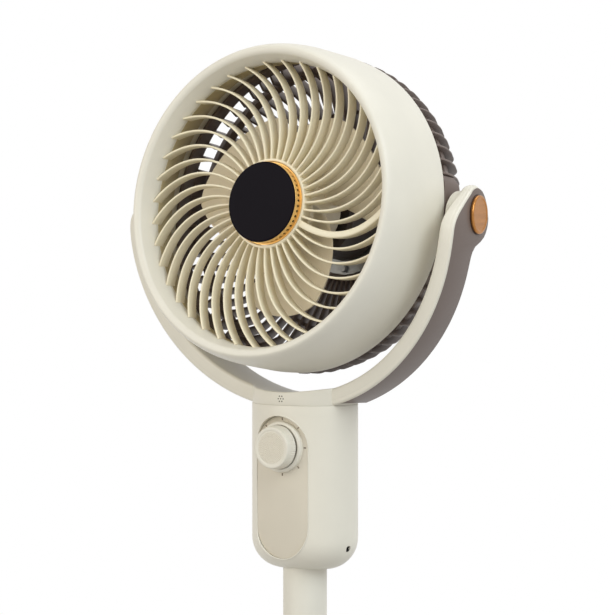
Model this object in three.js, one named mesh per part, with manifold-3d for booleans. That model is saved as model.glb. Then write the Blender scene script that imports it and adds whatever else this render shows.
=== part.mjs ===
// Pedestal air circulator: a round head that tilts in a U-shaped yoke, on an oval control
// housing, a pole and a weighted round base. Millimetres, +Z up, the fan blows towards -Y,
// and the origin is the centre of the base on the floor.
import * as THREE from 'three';
import { mergeVertices } from 'three/addons/utils/BufferGeometryUtils.js';
import Module from 'manifold-3d';

const wasm = await Module();
wasm.setup();

// ---- Clearances ---------------------------------------------------------------------------------------
const FIT = 0.3; // gap between touching pieces
const TILT_PLAY = 0.4; // gap between the head boss and the washer it turns on

// ---- Heights on the pole axis -------------------------------------------------------------------------
const PIVOT_Z = 833; // tilt axis above the floor
const PIVOT_Y = 24; // tilt axis behind the pole axis
const HEAD_Z = 833; // where the head's own axis crosses the pole axis
const HOUSING_HEIGHT = 143;
const KNOB_DROP = 36; // knob centre below the seam
const HEAD_TILT = 9.3; // degrees that the head looks up at rest

// ---- Base and pole ------------------------------------------------------------------------------------
const BASE_RADIUS = 150;
const BASE_EDGE = 9; // height of the straight rim of the cover
const BASE_CROWN = 12; // rise of the cover from rim to collar
const BASE_WALL = 3;
const FOOT_RADIUS = 9;
const FOOT_HEIGHT = 3.5;
const FOOT_MARGIN = 20; // foot centres inside the rim of the base
const FOOT_COUNT = 5;
const WEIGHT_MARGIN = 12; // edge of the weight inside the rim of the base
const WEIGHT_THICK = 5;
const COLLAR_RADIUS = 27;
const COLLAR_HEIGHT = 26;
const POLE_RADIUS = 19;
const POLE_WALL = 1.6;
const POLE_JOINT = 300; // height of the joint between the two tubes
const COUPLING_LENGTH = 70;
const COUPLING_WALL = 3;
const POLE_SINK = 40; // length of tube inside the housing socket
const SCREW_HEAD = 4;
const BASE_SCREW = 9;
const BASE_SCREW_HEAD = 3;

// ---- Control housing ----------------------------------------------------------------------------------
const HOUSING_A = 49; // half width of the oval
const HOUSING_B = 39.5; // half depth of the oval
const HOUSING_WALL = 2.5;
const HOUSING_CORNER = 27; // radius of the rounded lower edge
const PANEL_Y = -33; // face of the flat panel
const PANEL_HALF = 27; // half width of the stadium
const PANEL_LENGTH = 70; // between the centres of its two round ends
const PANEL_THICK = 2.6;
const WEB_THICK = 2.5; // housing wall behind the panel
const KNOB_REAR = 19.1;
const KNOB_FRONT = 16.7;
const KNOB_DEPTH = 9.6;
const KNOB_SHAFT = 3;
const KNOB_RIBS = 32;
const COLLAR_RING = 23; // outer radius of the ring that the knob turns in
const COLLAR_BORE = 17.2;
const COLLAR_DEPTH = 5;
const SWITCH_RADIUS = 12;
const SWITCH_DEPTH = 14;
const LID_THICK = 6;
const SOCKET_WALL = 2.6;
const BOARD_HALF = 19;
const BOARD_POST_RISE = 25; // lower posts of the board above its lower edge
const BOARD_FOOT = 47; // lower edge of the board above the housing floor
const BOARD_THICK = 1.6;
const BOARD_Y = 18;
const BOARD_POST = 2.4;
const INLET_RISE = 19; // inlet centre above the housing floor
const INLET_Y = -2;
const INLET_HALF_Y = 4;
const INLET_HALF_Z = 3;
const INLET_LENGTH = 12;
const INLET_RIM = 1;

// ---- Swing drive --------------------------------------------------------------------------------------
const SPINDLE_RADIUS = 8;
const SPINDLE_BORE = 5;
const SPINDLE_FLANGE = 16;
const FLANGE_THICK = 3;
const BUSHING_WALL = 2.5;
const GEAR_MODULE = 2;
const GEAR_TEETH = 24;
const PINION_TEETH = 8;
const GEAR_THICK = 5.5;
const GEAR_BACKLASH = 0.35;
const NUT_RADIUS = 12;
const NUT_HEIGHT = 5;
const DRIVE_RADIUS = 13;
const DRIVE_HEIGHT = 16;
const DRIVE_SHAFT = 1.5;

// ---- Yoke ---------------------------------------------------------------------------------------------
const YOKE_ROOM = 20; // gap between the shroud and the inside of the U
const ARM_THICK = 14.5; // from the inside of the U to the outside of the covers
const HUB_HEIGHT = 9.5; // hub between the inside of the U and the seam
const YOKE_LIFT = 4; // centre of the U above the tilt axis
const ARM_FRONT = -29; // front face of the arms near the eyes
const ARM_FRONT_LOW = -16; // front face at the hub
const ARM_REAR = 15.5; // rear face at the neck
const ARM_REAR_LOW = 24; // rear face at the hub
const EYE_RADIUS = 25;
const EYE_SLANT = 1.69; // run over rise of the front edge below the eye
const TOE_INNER = 0.12; // slope of an arm's inner face inwards towards its rear edge
const TOE_OUTER = 0.2; // the same for its outer face
const SAG = 0.1; // slope of the bottom of the U downwards towards its rear edge
const EDGE_ROUND = 3;
const COVER_THICK = 1.8;
const COVER_INSET = 2.4;
const RIM_WIDTH = 2; // rim of the arm in front of its cover, flush with it
const COVER_END = 73; // degrees below the tilt axis where a cover ends
const HUB_INSET = 0.4; // hub oval inside the housing oval
const CAP_RADIUS = 16.6;
const CAP_HEIGHT = 3;
const CAP_STEM = 8.6;
const BOLT_RADIUS = 5;
const BOLT_HEAD = 8;
const BOLT_HEAD_HEIGHT = 4;
const ARM_BOSS_RADIUS = 20;
const ARM_BOSS_ROOM = 4; // gap between an arm's boss and the guard's pad
const BORE_PAST = 5; // cutters of the tilt bolt's way beyond the arm
const ARM_BOSS_SINK = 3; // root of that boss inside the U's inner radius
const WASHER_THICK = 1.6;
const WASHER_RADIUS = 12;

// ---- Head, along its own axis: s is measured forwards from the pole axis ------------------------------
const SHROUD_RADIUS = 139.5;
const SHROUD_BACK = -10;
const SHROUD_WALL = 3;
const LIP_ROUND = 7; // how much the outside narrows to the crest of the lip
const LIP_RUN = 31; // the length over which it does
const LIP_WIDTH = 18.5; // from the outside of the shroud to the front opening
const LIP_S = 70; // crest of the front lip
const OPENING_S = 56;
const TAIL_WALL = 5.4; // thicker rear edge that holds the guard
const TAIL_LENGTH = 18;
const VANES = 40;
const VANE_THICK = 1.9;
const VANE_DEPTH = 11;
const VANE_FRONT = 55;
const CHANNEL_THICK = 6; // the one wide vane that carries the wire
const CHANNEL_AT = 37; // its place in the count of vanes
const RIM_WALL = 2;
const VANE_SWEEP = 23; // degrees that a vane's rim end leads its hub end
const VANE_POWER = 1.9; // how late along its length a vane bends
const VANE_PHASE = 2;
const HUB_RADIUS = 36;
const HUB_WALL = 2.8;
const BAND_RADIUS = 35;
const BAND_FRONT = 62.2;
const BAND_WALL = 2;
const DISC_RADIUS = 34.8;
const DISC_THICK = 1.6;
const GUARD_PLAY = 0.5; // gap between the guard and the shroud's tail
const GUARD_SWELL = 3.2; // how far the side wall stands out behind the shroud
const GUARD_WALL = 3;
const GUARD_RIBS = 36;
const GUARD_SHARE = 0.42; // share of the pitch that a rib fills
const GUARD_SIDE_S = -38; // end of the side wall
const GUARD_BACK_S = -72;
const GUARD_TAPER = 3; // how much the side wall narrows to its end
const GUARD_STEP = 12.6; // how much the guard narrows to where its back begins
const GUARD_SHOULDER_S = -55;
const GUARD_CENTRE = 52;
const GUARD_HOLE = 30;
const PAD_ARC = 15; // half of the arc that a side pad covers, in degrees
const PAD_LENGTH = 24;
const PAD_MARGIN = 6; // arc beside a pad, in degrees, where the side wall does not stand out
const BOSS_RADIUS = 12;
const MOTOR_RADIUS = 34;
const MOTOR_LENGTH = 42;
const MOTOR_NOSE = 10;
const MOUNT_THICK = 4;
const MOUNT_RADIUS = 46;
const MOUNT_SCREWS = 4;
const MOUNT_CIRCLE = 40;
const REAR_CAP_RADIUS = 44;
const REAR_CAP_THICK = 4;
const SHAFT_RADIUS = 4;
const FAN_HUB = 28;
const FAN_HUB_WALL = 2.5;
const FAN_BACK = -14;
const FAN_FRONT = 30;
const FAN_BOSS = 18; // length of the hub's boss on the shaft
const FAN_NUT = 9;
const FAN_NUT_HEIGHT = 9;
const BLADES = 3;
const BLADE_TIP = 93;
const BLADE_CORNER = 5; // how much shorter a blade is at its two tip corners
const BLADE_START = 14; // angle of the rear edge at the root, in degrees
const BLADE_START_SWEEP = 23; // how far that edge falls back towards the tip
const BLADE_END = 128; // angle of the front edge at the root
const BLADE_END_SWEEP = 66; // how far that edge falls back towards the tip
const BLADE_MIDDLE = 14.5; // s halfway between the two edges
const BLADE_RISE = 34; // axial travel from the rear to the front edge at the tip
const BLADE_THICK = 2.4;

// ---- Derived values -----------------------------------------------------------------------------------
const YOKE_INNER = SHROUD_RADIUS + YOKE_ROOM;
const YOKE_OUTER = YOKE_INNER + ARM_THICK;
const ARM_BOSS_END = SHROUD_RADIUS + ARM_BOSS_ROOM;
const SEAM_Z = PIVOT_Z + YOKE_LIFT - YOKE_INNER - HUB_HEIGHT;
const HOUSING_FLOOR = SEAM_Z - HOUSING_HEIGHT;
const KNOB_Z = SEAM_Z - KNOB_DROP;
const YOKE_FRAME_OUTER = YOKE_OUTER - COVER_THICK - FIT;
const POLE_TOP = HOUSING_FLOOR + POLE_SINK;
const OPENING_RADIUS = SHROUD_RADIUS - LIP_WIDTH;
const GUARD_RADIUS = SHROUD_RADIUS - TAIL_WALL - GUARD_PLAY;
const BASE_TOP = FOOT_HEIGHT + BASE_EDGE + BASE_CROWN;
const GEAR_RADIUS = (GEAR_MODULE * GEAR_TEETH) / 2;
const PINION_RADIUS = (GEAR_MODULE * PINION_TEETH) / 2;
const PINION_X = -(GEAR_RADIUS + PINION_RADIUS + FIT);
const LID_TOP = SEAM_Z - FIT;
const LID_BOTTOM = LID_TOP - LID_THICK;
const GEAR_TOP = LID_BOTTOM - 2 * FIT;
const CAVITY_FRONT = PANEL_Y + PANEL_THICK + FIT + WEB_THICK;
const MOTOR_BACK = GUARD_BACK_S + GUARD_WALL + FIT + MOUNT_THICK + FIT;
const rad = THREE.MathUtils.degToRad;

// ---- Materials ----------------------------------------------------------------------------------------
const finish = (color, roughness, metalness) =>
  new THREE.MeshStandardMaterial({ color, roughness, metalness });
const CREAM = finish(0xe4dfcf, 0.45, 0);
const PANEL = finish(0xd0c8b7, 0.5, 0);
const TAUPE = finish(0x7a6961, 0.5, 0);
const DARK = finish(0x3c2d28, 0.6, 0);
const COPPER = finish(0xb8855a, 0.28, 0.85);
const GOLD = finish(0xdaa550, 0.3, 0.8);
const GLOSS = finish(0x1b191f, 0.1, 0);
const RUBBER = finish(0x2b2b2b, 0.85, 0);
const STEEL = finish(0xa9abad, 0.35, 0.9);
const BOARD = finish(0x2f6b45, 0.6, 0);
const BRASS = finish(0xc2a25a, 0.35, 0.8);

// ---- Geometry helpers ---------------------------------------------------------------------------------
function bare(geometry) {
  const copy = geometry.clone();
  copy.deleteAttribute('normal');
  copy.deleteAttribute('uv');
  return mergeVertices(copy, 1e-4);
}

function solid(geometry) {
  const merged = bare(geometry);
  const vertProperties = new Float32Array(merged.attributes.position.array);
  const triVerts = new Uint32Array(merged.index.array);
  return new wasm.Manifold(new wasm.Mesh({ numProp: 3, vertProperties, triVerts }));
}

function surface(manifold) {
  const mesh = manifold.getMesh();
  const geometry = new THREE.BufferGeometry();
  geometry.setAttribute('position', new THREE.BufferAttribute(mesh.vertProperties, 3));
  geometry.setIndex(new THREE.BufferAttribute(mesh.triVerts, 1));
  return geometry;
}

function join(...geometries) {
  return surface(geometries.map(solid).reduce((a, b) => a.add(b)));
}

function cut(geometry, ...tools) {
  return surface(tools.map(solid).reduce((a, b) => a.subtract(b), solid(geometry)));
}

function overlap(a, b) {
  return surface(solid(a).intersect(solid(b)));
}

// Signed volume, used to turn every surface outwards.
function volume(geometry) {
  const p = geometry.attributes.position;
  const order = geometry.index;
  const a = new THREE.Vector3();
  const b = new THREE.Vector3();
  const c = new THREE.Vector3();
  let sum = 0;
  for (let i = 0; i < order.count; i += 3) {
    a.fromBufferAttribute(p, order.getX(i));
    b.fromBufferAttribute(p, order.getX(i + 1));
    c.fromBufferAttribute(p, order.getX(i + 2));
    sum += a.dot(b.cross(c));
  }
  return sum / 6;
}

// Merged copy without the empty triangles that a turned profile leaves on its axis.
function outward(geometry) {
  const merged = bare(geometry);
  const old = merged.index.array;
  const order = [];
  const flip = volume(merged) < 0;
  for (let i = 0; i < old.length; i += 3) {
    const [a, b, c] = [old[i], old[i + 1], old[i + 2]];
    if (a === b || b === c || a === c) continue;
    order.push(...(flip ? [b, a, c] : [a, b, c]));
  }
  merged.setIndex(order);
  return merged;
}

// A grid of cells with a front and a back face. Cells that are not solid are left open, and
// every open edge gets a wall, so the result is closed.
function lattice(cols, rows, wraps, isSolid, front, back) {
  const stride = wraps ? cols : cols + 1;
  const id = (i, j, side) => (side * (rows + 1) + j) * stride + (wraps ? (i + cols) % cols : i);
  const has = (i, j) => {
    if (j < 0 || j >= rows) return false;
    if (!wraps && (i < 0 || i >= cols)) return false;
    return isSolid((i + cols) % cols, j);
  };
  const points = [];
  for (const face of [front, back]) {
    for (let j = 0; j <= rows; j++) {
      for (let i = 0; i < stride; i++) points.push(...face(i, j));
    }
  }
  const order = [];
  const quad = (a, b, c, d) => order.push(a, b, c, a, c, d);
  for (let j = 0; j < rows; j++) {
    for (let i = 0; i < cols; i++) {
      if (!has(i, j)) continue;
      quad(id(i, j, 0), id(i + 1, j, 0), id(i + 1, j + 1, 0), id(i, j + 1, 0));
      quad(id(i, j, 1), id(i, j + 1, 1), id(i + 1, j + 1, 1), id(i + 1, j, 1));
      if (!has(i - 1, j)) quad(id(i, j, 0), id(i, j + 1, 0), id(i, j + 1, 1), id(i, j, 1));
      if (!has(i + 1, j)) {
        quad(id(i + 1, j + 1, 0), id(i + 1, j, 0), id(i + 1, j, 1), id(i + 1, j + 1, 1));
      }
      if (!has(i, j - 1)) quad(id(i + 1, j, 0), id(i, j, 0), id(i, j, 1), id(i + 1, j, 1));
      if (!has(i, j + 1)) {
        quad(id(i, j + 1, 0), id(i + 1, j + 1, 0), id(i + 1, j + 1, 1), id(i, j + 1, 1));
      }
    }
  }
  const geometry = new THREE.BufferGeometry();
  geometry.setAttribute('position', new THREE.Float32BufferAttribute(points, 3));
  geometry.setIndex(order);
  return outward(geometry.toNonIndexed());
}

// Rings with the same number of points, skinned in order and closed by a fan at each end.
function loft(rings) {
  const n = rings[0].length;
  const points = rings.flat(2);
  const order = [];
  for (let k = 0; k + 1 < rings.length; k++) {
    for (let i = 0; i < n; i++) {
      const a = k * n + i;
      const b = k * n + ((i + 1) % n);
      order.push(a, b, b + n, a, b + n, a + n);
    }
  }
  for (const [start, flip] of [[0, true], [(rings.length - 1) * n, false]]) {
    const ring = rings[start / n];
    const centre = [0, 1, 2].map((axis) => ring.reduce((sum, p) => sum + p[axis], 0) / n);
    const hub = points.length / 3;
    points.push(...centre);
    for (let i = 0; i < n; i++) {
      const a = start + i;
      const b = start + ((i + 1) % n);
      order.push(...(flip ? [hub, b, a] : [hub, a, b]));
    }
  }
  const geometry = new THREE.BufferGeometry();
  geometry.setAttribute('position', new THREE.Float32BufferAttribute(points, 3));
  geometry.setIndex(order);
  return outward(geometry);
}

// Turned piece about the Z axis from [radius, z] pairs.
function turned(profile, segments = 24) {
  const points = profile.map(([r, z]) => new THREE.Vector2(r, z));
  return outward(new THREE.LatheGeometry(points, segments).rotateX(Math.PI / 2));
}

// Turned piece about the head axis from [radius, s] pairs, s forwards.
function turnedHead(profile, segments = 48) {
  return turned(profile, segments).rotateX(Math.PI / 2);
}

function ring(inner, outer, z0, z1, segments = 24) {
  return turned([[inner, z0], [outer, z0], [outer, z1], [inner, z1], [inner, z0]], segments);
}

function disc(radius, z0, z1, segments = 24) {
  return turned([[0, z0], [radius, z0], [radius, z1], [0, z1]], segments);
}

function block(x0, x1, y0, y1, z0, z1) {
  const box = new THREE.BoxGeometry(x1 - x0, y1 - y0, z1 - z0);
  return outward(box.translate((x0 + x1) / 2, (y0 + y1) / 2, (z0 + z1) / 2));
}

// Round bar along X between x0 and x1, on the tilt axis.
function barX(radius, x0, x1, segments = 20) {
  return disc(radius, x0, x1, segments).rotateY(Math.PI / 2).translate(0, PIVOT_Y, PIVOT_Z);
}

// Turned piece on the sloping outer face of an eye: its z becomes the height over that face.
function onEye(geometry, side) {
  const x = YOKE_OUTER - TOE_OUTER * (PIVOT_Y - ARM_FRONT);
  const turn = Math.atan(TOE_OUTER);
  return geometry.rotateY((side * Math.PI) / 2).rotateZ(side * turn).translate(side * x, PIVOT_Y, PIVOT_Z);
}

// Round bar along Y between y0 and y1.
function barY(radius, x, y0, y1, z, segments = 20) {
  return disc(radius, -y1, -y0, segments).rotateX(Math.PI / 2).translate(x, 0, z);
}

function ovalRing(a, b, z, segments = 32) {
  const ringPoints = [];
  for (let i = 0; i < segments; i++) {
    const angle = (2 * Math.PI * i) / segments;
    ringPoints.push([a * Math.cos(angle), b * Math.sin(angle), z]);
  }
  return ringPoints;
}

function ovalPrism(a, b, z0, z1) {
  return loft([ovalRing(a, b, z0), ovalRing(a, b, z1)]);
}

function around(count, radius, make) {
  const pieces = [];
  for (let k = 0; k < count; k++) {
    const angle = (2 * Math.PI * k) / count;
    pieces.push(make(radius * Math.cos(angle), radius * Math.sin(angle), angle));
  }
  return pieces;
}

function stadium(half, length, y0, y1, zTop) {
  const shape = new THREE.Shape();
  shape.absarc(0, 0, half, 0, Math.PI, false);
  shape.absarc(0, -length, half, Math.PI, 2 * Math.PI, false);
  shape.closePath();
  const flat = new THREE.ExtrudeGeometry(shape, {
    depth: y1 - y0,
    bevelEnabled: false,
    curveSegments: 12,
  });
  return outward(flat.rotateX(Math.PI / 2).translate(0, y1, zTop));
}

function mesh(name, geometry, material) {
  const flat = geometry.index ? geometry.toNonIndexed() : geometry;
  flat.computeVertexNormals();
  const piece = new THREE.Mesh(flat, material);
  piece.name = name;
  return piece;
}

// ---- Base and pole ------------------------------------------------------------------------------------
function baseCover() {
  const rim = FOOT_HEIGHT + BASE_EDGE;
  const crown = [];
  for (let k = 0; k <= 4; k++) {
    const t = k / 4;
    const r = BASE_RADIUS - 4 + (COLLAR_RADIUS - BASE_RADIUS + 4) * t;
    crown.push([r, rim + 2 + (BASE_CROWN - 2) * Math.sin((t * Math.PI) / 2)]);
  }
  const under = crown.slice().reverse().map(([r, z]) => [Math.min(r, BASE_RADIUS - 6), z - BASE_WALL]);
  const bore = POLE_RADIUS + FIT;
  const profile = [
    [BASE_RADIUS - BASE_WALL, FOOT_HEIGHT],
    [BASE_RADIUS, FOOT_HEIGHT],
    [BASE_RADIUS, rim],
    ...crown,
    [bore, BASE_TOP],
    [bore, BASE_TOP - BASE_WALL],
    ...under,
    [BASE_RADIUS - BASE_WALL, rim - 1],
    [BASE_RADIUS - BASE_WALL, FOOT_HEIGHT],
  ];
  return turned(profile, 36);
}

function poleCollar() {
  const bore = POLE_RADIUS + FIT;
  const foot = BASE_TOP + FIT;
  const top = BASE_TOP + COLLAR_HEIGHT;
  const profile = [
    [bore, foot],
    [COLLAR_RADIUS, foot],
    [COLLAR_RADIUS - 1, top - 1.5],
    [COLLAR_RADIUS - 2.5, top],
    [bore, top],
    [bore, foot],
  ];
  return turned(profile, 28);
}

function baseWeight() {
  const top = FOOT_HEIGHT + FIT + WEIGHT_THICK;
  const body = disc(BASE_RADIUS - WEIGHT_MARGIN, FOOT_HEIGHT + FIT, top, 36);
  const spigot = disc(POLE_RADIUS - POLE_WALL - FIT, top - 1, BASE_TOP + 6);
  return join(body, spigot);
}

function rubberFoot(x, y) {
  return disc(FOOT_RADIUS, 0, FOOT_HEIGHT, 20).translate(x, y, 0);
}

// Screw from below through the weight into its spigot: only its head shows.
function baseScrew() {
  return disc(BASE_SCREW, FOOT_HEIGHT - BASE_SCREW_HEAD, FOOT_HEIGHT, 6);
}

function poleTube(z0, z1) {
  return ring(POLE_RADIUS - POLE_WALL, POLE_RADIUS, z0, z1, 28);
}

function poleCoupling() {
  const outer = POLE_RADIUS - POLE_WALL - FIT;
  const half = COUPLING_LENGTH / 2;
  return ring(outer - COUPLING_WALL, outer, POLE_JOINT - half, POLE_JOINT + half);
}

// ---- Control housing ----------------------------------------------------------------------------------
// Oval cup with a rounded lower edge, `inset` inside the outer skin.
function housingForm(inset, z0, z1) {
  const corner = HOUSING_CORNER - inset;
  const rings = [];
  const steps = 5;
  for (let k = 0; k <= steps; k++) {
    const angle = (Math.PI / 2) * (k / steps);
    const shrink = inset + corner * (1 - Math.sin(angle));
    const z = z0 + corner * (1 - Math.cos(angle));
    rings.push(ovalRing(HOUSING_A - shrink, HOUSING_B - shrink, z));
  }
  rings.push(ovalRing(HOUSING_A - inset, HOUSING_B - inset, z1));
  return loft(rings);
}

function cavityForm(extra, z0, z1) {
  const inside = housingForm(HOUSING_WALL + extra, z0, z1);
  const keep = block(-HOUSING_A, HOUSING_A, CAVITY_FRONT + extra, HOUSING_B, z0 - 1, z1 + 1);
  return overlap(inside, keep);
}

function housingShell() {
  const skin = housingForm(0, HOUSING_FLOOR, SEAM_Z - FIT);
  const cavity = cavityForm(0, HOUSING_FLOOR + HOUSING_WALL, SEAM_Z + 5);
  const seat = stadium(PANEL_HALF, PANEL_LENGTH, -HOUSING_B - 5, PANEL_Y + PANEL_THICK + FIT, KNOB_Z);
  const shaftHole = barY(KNOB_SHAFT + 1, 0, PANEL_Y, CAVITY_FRONT + 1, KNOB_Z);
  const floorTop = HOUSING_FLOOR + POLE_SINK;
  const socket = disc(POLE_RADIUS + FIT + SOCKET_WALL, HOUSING_FLOOR + 1, floorTop, 32);
  const bore = disc(POLE_RADIUS + FIT, HOUSING_FLOOR - 1, floorTop + 1, 40);
  const z = HOUSING_FLOOR + INLET_RISE;
  const y0 = INLET_Y - INLET_HALF_Y - FIT;
  const y1 = INLET_Y + INLET_HALF_Y + FIT;
  const port = block(POLE_RADIUS + 8, HOUSING_A, y0, y1, z - INLET_HALF_Z - FIT, z + INLET_HALF_Z + FIT);
  const hollow = cut(skin, cavity, seat, shaftHole, port);
  return cut(join(hollow, socket), bore);
}

function controlPanel() {
  const y1 = PANEL_Y + PANEL_THICK;
  const plate = stadium(PANEL_HALF - FIT, PANEL_LENGTH, PANEL_Y, y1, KNOB_Z);
  return cut(plate, barY(KNOB_SHAFT + 1, 0, PANEL_Y - 1, y1 + 1, KNOB_Z));
}

function dialCollar() {
  const back = PANEL_Y - FIT;
  const outer = [
    [COLLAR_BORE, back],
    [COLLAR_RING, back],
    [COLLAR_RING, back - COLLAR_DEPTH + 1.5],
    [COLLAR_RING - 1.5, back - COLLAR_DEPTH],
    [COLLAR_BORE + 2.2, back - COLLAR_DEPTH],
    [COLLAR_BORE, back],
  ];
  return turned(outer, 28).rotateX(-Math.PI / 2).translate(0, 0, KNOB_Z);
}

function speedKnob() {
  const back = PANEL_Y - FIT - COLLAR_DEPTH - FIT;
  const front = back - KNOB_DEPTH;
  const pocket = KNOB_SHAFT + FIT;
  const body = turned([
    [0, front],
    [KNOB_FRONT - 1, front],
    [KNOB_FRONT, front + 1],
    [KNOB_REAR, back],
    [pocket, back],
    [pocket, front + 3],
    [0, front + 3],
  ], KNOB_RIBS);
  return body.rotateX(-Math.PI / 2).translate(0, 0, KNOB_Z);
}

function rotarySwitch() {
  const face = CAVITY_FRONT + FIT;
  const body = barY(SWITCH_RADIUS, 0, face, face + SWITCH_DEPTH, KNOB_Z);
  const tip = PANEL_Y - FIT - COLLAR_DEPTH - FIT - KNOB_DEPTH + 3 + FIT;
  return join(body, barY(KNOB_SHAFT, 0, tip, face + 1, KNOB_Z, 16));
}

function housingLid() {
  const plate = cavityForm(FIT, HOUSING_FLOOR, LID_TOP);
  const slab = block(-HOUSING_A, HOUSING_A, -HOUSING_B, HOUSING_B, LID_BOTTOM, LID_TOP + 1);
  const bore = disc(SPINDLE_RADIUS + FIT + BUSHING_WALL + FIT, LID_BOTTOM - 1, LID_TOP + 1);
  return cut(overlap(plate, slab), bore);
}

function controlBoard() {
  const top = KNOB_Z - SWITCH_RADIUS;
  const foot = HOUSING_FLOOR + BOARD_FOOT;
  return block(-BOARD_HALF, BOARD_HALF, BOARD_Y, BOARD_Y + BOARD_THICK, foot, top);
}

function boardPosts() {
  const top = KNOB_Z - SWITCH_RADIUS;
  const low = HOUSING_FLOOR + BOARD_FOOT + BOARD_POST_RISE;
  const posts = [];
  for (const x of [-BOARD_HALF + 5, BOARD_HALF - 5]) {
    const share = Math.sqrt(1 - (Math.abs(x) + BOARD_POST) ** 2 / (HOUSING_A - HOUSING_WALL) ** 2);
    const wall = (HOUSING_B - HOUSING_WALL) * share - FIT;
    for (const z of [top - 5, low]) {
      posts.push(barY(BOARD_POST, x, BOARD_Y + BOARD_THICK + FIT, wall, z, 12));
    }
  }
  const rail = BOARD_HALF - 5;
  const y = BOARD_Y + BOARD_THICK + 6;
  const rails = block(-rail, rail, y, y + 3, low - BOARD_POST, top - 5 + BOARD_POST);
  return join(rails, ...posts);
}

function powerInlet() {
  const z = HOUSING_FLOOR + INLET_RISE;
  const bend = HOUSING_CORNER - (z - HOUSING_FLOOR);
  const shrink = HOUSING_CORNER - Math.sqrt(HOUSING_CORNER ** 2 - Math.max(bend, 0) ** 2);
  const face = HOUSING_A - shrink - 0.6;
  const y0 = INLET_Y - INLET_HALF_Y;
  const y1 = INLET_Y + INLET_HALF_Y;
  const z0 = z - INLET_HALF_Z;
  const z1 = z + INLET_HALF_Z;
  const body = block(face - INLET_LENGTH, face, y0, y1, z0, z1);
  const rim = INLET_RIM;
  return cut(body, block(face - INLET_LENGTH + 4, face + 1, y0 + rim, y1 - rim, z0 + rim, z1 - rim));
}

function housingScrew(side) {
  const z = HOUSING_FLOOR + POLE_SINK - SCREW_HEAD - 4;
  const start = POLE_RADIUS + FIT + SOCKET_WALL + FIT;
  return barY(SCREW_HEAD, 0, start, start + 3, z, 12).rotateZ((side * Math.PI) / 2);
}

// ---- Swing drive --------------------------------------------------------------------------------------
// Spur gear outline with straight-sided teeth, thinned by the backlash.
function gearShape(teeth, bore, phase) {
  const pitch = (GEAR_MODULE * teeth) / 2;
  const tip = pitch + GEAR_MODULE * 0.9;
  const root = pitch - GEAR_MODULE * 1.25;
  const step = (2 * Math.PI) / teeth;
  const thin = GEAR_BACKLASH / pitch;
  const shape = new THREE.Shape();
  for (let k = 0; k < teeth; k++) {
    const at = k * step + phase;
    const corners = [
      [root, -0.34 * step + thin],
      [tip, -0.12 * step + thin / 2],
      [tip, 0.12 * step - thin / 2],
      [root, 0.34 * step - thin],
    ];
    corners.forEach(([r, turn], n) => {
      const x = r * Math.cos(at + turn);
      const y = r * Math.sin(at + turn);
      if (k + n === 0) shape.moveTo(x, y);
      else shape.lineTo(x, y);
    });
  }
  shape.closePath();
  if (bore > 0) {
    const hole = new THREE.Path();
    hole.absarc(0, 0, bore, 0, 2 * Math.PI, true);
    shape.holes.push(hole);
  }
  return shape;
}

function gear(teeth, bore, phase) {
  const shape = gearShape(teeth, bore, phase);
  const depth = GEAR_THICK;
  return outward(new THREE.ExtrudeGeometry(shape, { depth, bevelEnabled: false, curveSegments: 12 }));
}

function swingGear() {
  return gear(GEAR_TEETH, SPINDLE_RADIUS + FIT, 0).translate(0, 0, GEAR_TOP - GEAR_THICK);
}

function swingPinion() {
  const wheel = gear(PINION_TEETH, 0, Math.PI / PINION_TEETH).translate(PINION_X, 0, GEAR_TOP - GEAR_THICK);
  const bottom = GEAR_TOP - GEAR_THICK - 10;
  const shaft = disc(DRIVE_SHAFT, bottom, GEAR_TOP - 1, 12).translate(PINION_X, 0, 0);
  return join(wheel, shaft);
}

function swingMotor() {
  const top = GEAR_TOP - GEAR_THICK - FIT - 1;
  const can = disc(DRIVE_RADIUS, top - DRIVE_HEIGHT, top, 28).translate(PINION_X, 0, 0);
  const post = (y) => disc(2, top - 2, LID_BOTTOM - FIT, 12).translate(PINION_X, y, 0);
  const reach = DRIVE_RADIUS + 2.6;
  const ears = block(PINION_X - 4, PINION_X + 4, -reach - 3, reach + 3, top - 4, top - 1);
  const well = disc(DRIVE_SHAFT + FIT, top - 12, top + 1, 12).translate(PINION_X, 0, 0);
  return cut(join(can, ears, post(-reach), post(reach)), well);
}

function spindleBushing() {
  const inner = SPINDLE_RADIUS + FIT;
  return ring(inner, inner + BUSHING_WALL, LID_BOTTOM, LID_TOP, 20);
}

function yokeSpindle() {
  const top = SEAM_Z + FIT + FLANGE_THICK;
  const low = GEAR_TOP - GEAR_THICK - FIT - NUT_HEIGHT - 3;
  return turned([
    [SPINDLE_BORE, low],
    [SPINDLE_RADIUS, low],
    [SPINDLE_RADIUS, SEAM_Z + FIT],
    [SPINDLE_FLANGE, SEAM_Z + FIT],
    [SPINDLE_FLANGE, top],
    [SPINDLE_BORE, top],
    [SPINDLE_BORE, low],
  ], 20);
}

function spindleNut() {
  const top = GEAR_TOP - GEAR_THICK - FIT;
  const bore = disc(SPINDLE_RADIUS + FIT, top - NUT_HEIGHT - 1, top + 1, 28);
  return cut(disc(NUT_RADIUS, top - NUT_HEIGHT, top, 6), bore);
}

// ---- Yoke ---------------------------------------------------------------------------------------------
const blendMax = (a, b, k) => (a + b + Math.sqrt((a - b) ** 2 + k * k)) / 2;

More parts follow.
